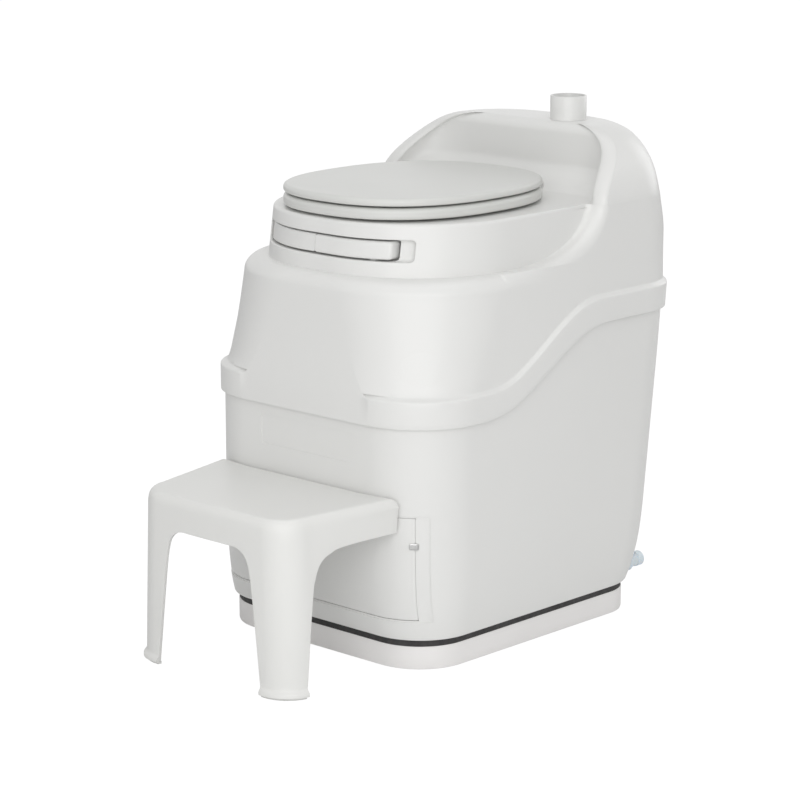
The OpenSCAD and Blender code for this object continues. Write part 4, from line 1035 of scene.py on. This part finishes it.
# Name, colour, roughness from and to, waviness, grain.
FINISHES = {
    "shell_white": moulded("gloss_white_housing", SHELL_RGB, (0.33, 0.36), 0.02, 0.01, coat=0.05),
    "lid_white": moulded("satin_white_seat", (0.69, 0.695, 0.672), (0.33, 0.37), 0.02, 0.02),
    "stool_white": moulded("grained_white_stool", (0.80, 0.80, 0.78), (0.36, 0.41), 0.02, 0.05),
    "tray_white": moulded("matt_white_tray", (0.86, 0.845, 0.835), (0.42, 0.58), 0.04, 0.12),
    "inner_plastic": moulded("pale_grey_inner", (0.62, 0.62, 0.60), (0.35, 0.5), 0.04, 0.06, 0.03),
    "dark_rubber": rubber("black_sealing_rubber", (0.035, 0.034, 0.034)),
    "dark_plastic": moulded("black_moulding", (0.04, 0.04, 0.042), (0.38, 0.55), 0.03, 0.15, 0.1),
    "steel": brushed("stainless_steel", (0.58, 0.58, 0.575)),
    "drain_plastic": cloudy("cloudy_drain_pipe", (0.72, 0.79, 0.84)),
}
SLOTS = {part["node"]: part["material_slot"] for part in frame["record"]["subparts"]}


def dress(obj, finish):
    obj.data.materials.clear()
    obj.data.materials.append(finish)
    for poly in obj.data.polygons:
        poly.material_index = 0


for node, obj in frame["nodes"].items():
    if not obj.hide_render:
        if not obj.material_slots:
            obj.data.materials.append(None)
        for held in obj.material_slots:
            held.material = FINISHES[SLOTS[node]]
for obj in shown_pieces():
    if "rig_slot" in obj:
        dress(obj, FINISHES[obj["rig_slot"]])

# ------------------------------------------------------------------ studio
FLOOR_HALF, FLOOR_GLOW, GLOW_SHARE, ROOM_LIGHT = 60000, 1.1, 0.9, 0.48


def math_node(tree, operation, a, b):
    """A clamped sum or product of a socket with a socket or a number."""
    made = tree.nodes.new("ShaderNodeMath")
    made.operation, made.use_clamp = operation, True
    tree.links.new(a, made.inputs[0])
    if isinstance(b, bpy.types.NodeSocket):
        tree.links.new(b, made.inputs[1])
    else:
        made.inputs[1].default_value = b
    return made.outputs[0]


def mix_shaders(tree, share, low, high, target):
    made = tree.nodes.new("ShaderNodeMixShader")
    tree.links.new(share, made.inputs["Fac"])
    tree.links.new(low, made.inputs[1])
    tree.links.new(high, made.inputs[2])
    tree.links.new(made.outputs[0], target)


def lay_floor():
    """A pale matt floor that also glows a little, for the camera alone."""
    e = FLOOR_HALF
    floor = put("studio_floor", [(-e, -e, 0), (e, -e, 0), (e, e, 0), (-e, e, 0)], [(0, 1, 2, 3)])
    f = Finish("pale_floor")
    speckle = f.ramp(f.noise(3.0, 3.0), (0.3, (0.86, 0.86, 0.86)), (0.7, (0.9, 0.9, 0.9)))
    matt = f.node("BsdfDiffuse", Color=speckle).outputs[0]
    glow = f.node("Emission", Color=(1, 1, 1, 1), Strength=FLOOR_GLOW).outputs[0]
    seen = f.node("LightPath").outputs["Is Camera Ray"]
    share = math_node(f.tree, "MULTIPLY", seen, GLOW_SHARE)
    mix_shaders(f.tree, share, matt, glow, f.tree.nodes["Material Output"].inputs["Surface"])
    f.tree.nodes.remove(f.shader)
    floor.data.materials.append(f.mat)


def light_room():
    """A dim white room for the light, a bright one for the camera, reflections and glass."""
    world = bpy.data.worlds.new("white_room")
    bpy.context.scene.world = world
    world.use_nodes = True
    tree = world.node_tree
    dim, bright = tree.nodes["Background"], tree.nodes.new("ShaderNodeBackground")
    dim.inputs["Strength"].default_value = ROOM_LIGHT
    for shade in (dim, bright):
        shade.inputs["Color"].default_value = (1, 1, 1, 1)
    path = tree.nodes.new("ShaderNodeLightPath").outputs
    share = math_node(tree, "ADD", path["Is Camera Ray"], path["Is Transmission Ray"])
    share = math_node(tree, "ADD", share, path["Is Glossy Ray"])
    target = tree.nodes["World Output"].inputs["Surface"]
    mix_shaders(tree, share, dim.outputs[0], bright.outputs[0], target)


def softbox(name, az, el, dist, size, power):
    """A square lamp at that azimuth and height angle, facing the middle of the housing."""
    data = bpy.data.lights.new(name, "AREA")
    data.shape, data.size, data.energy = "SQUARE", size, power
    lamp = bpy.data.objects.new(name, data)
    a, e = math.radians(az), math.radians(el)
    way = Vector((math.sin(a) * math.cos(e), -math.cos(a) * math.cos(e), math.sin(e)))
    lamp.location = Vector((0, 0, 0.4)) + way * dist
    lamp.rotation_euler = way.to_track_quat("Z", "Y").to_euler()
    bpy.context.scene.collection.objects.link(lamp)


lay_floor()
light_room()
softbox("key_softbox", 42, 17, 3.2, 3.0, 46)
softbox("top_softbox", 42, 85, 3.2, 3.0, 22)
softbox("back_softbox", 172, 18, 3.6, 2.0, 18)
bpy.context.scene.view_settings.view_transform = "Standard"
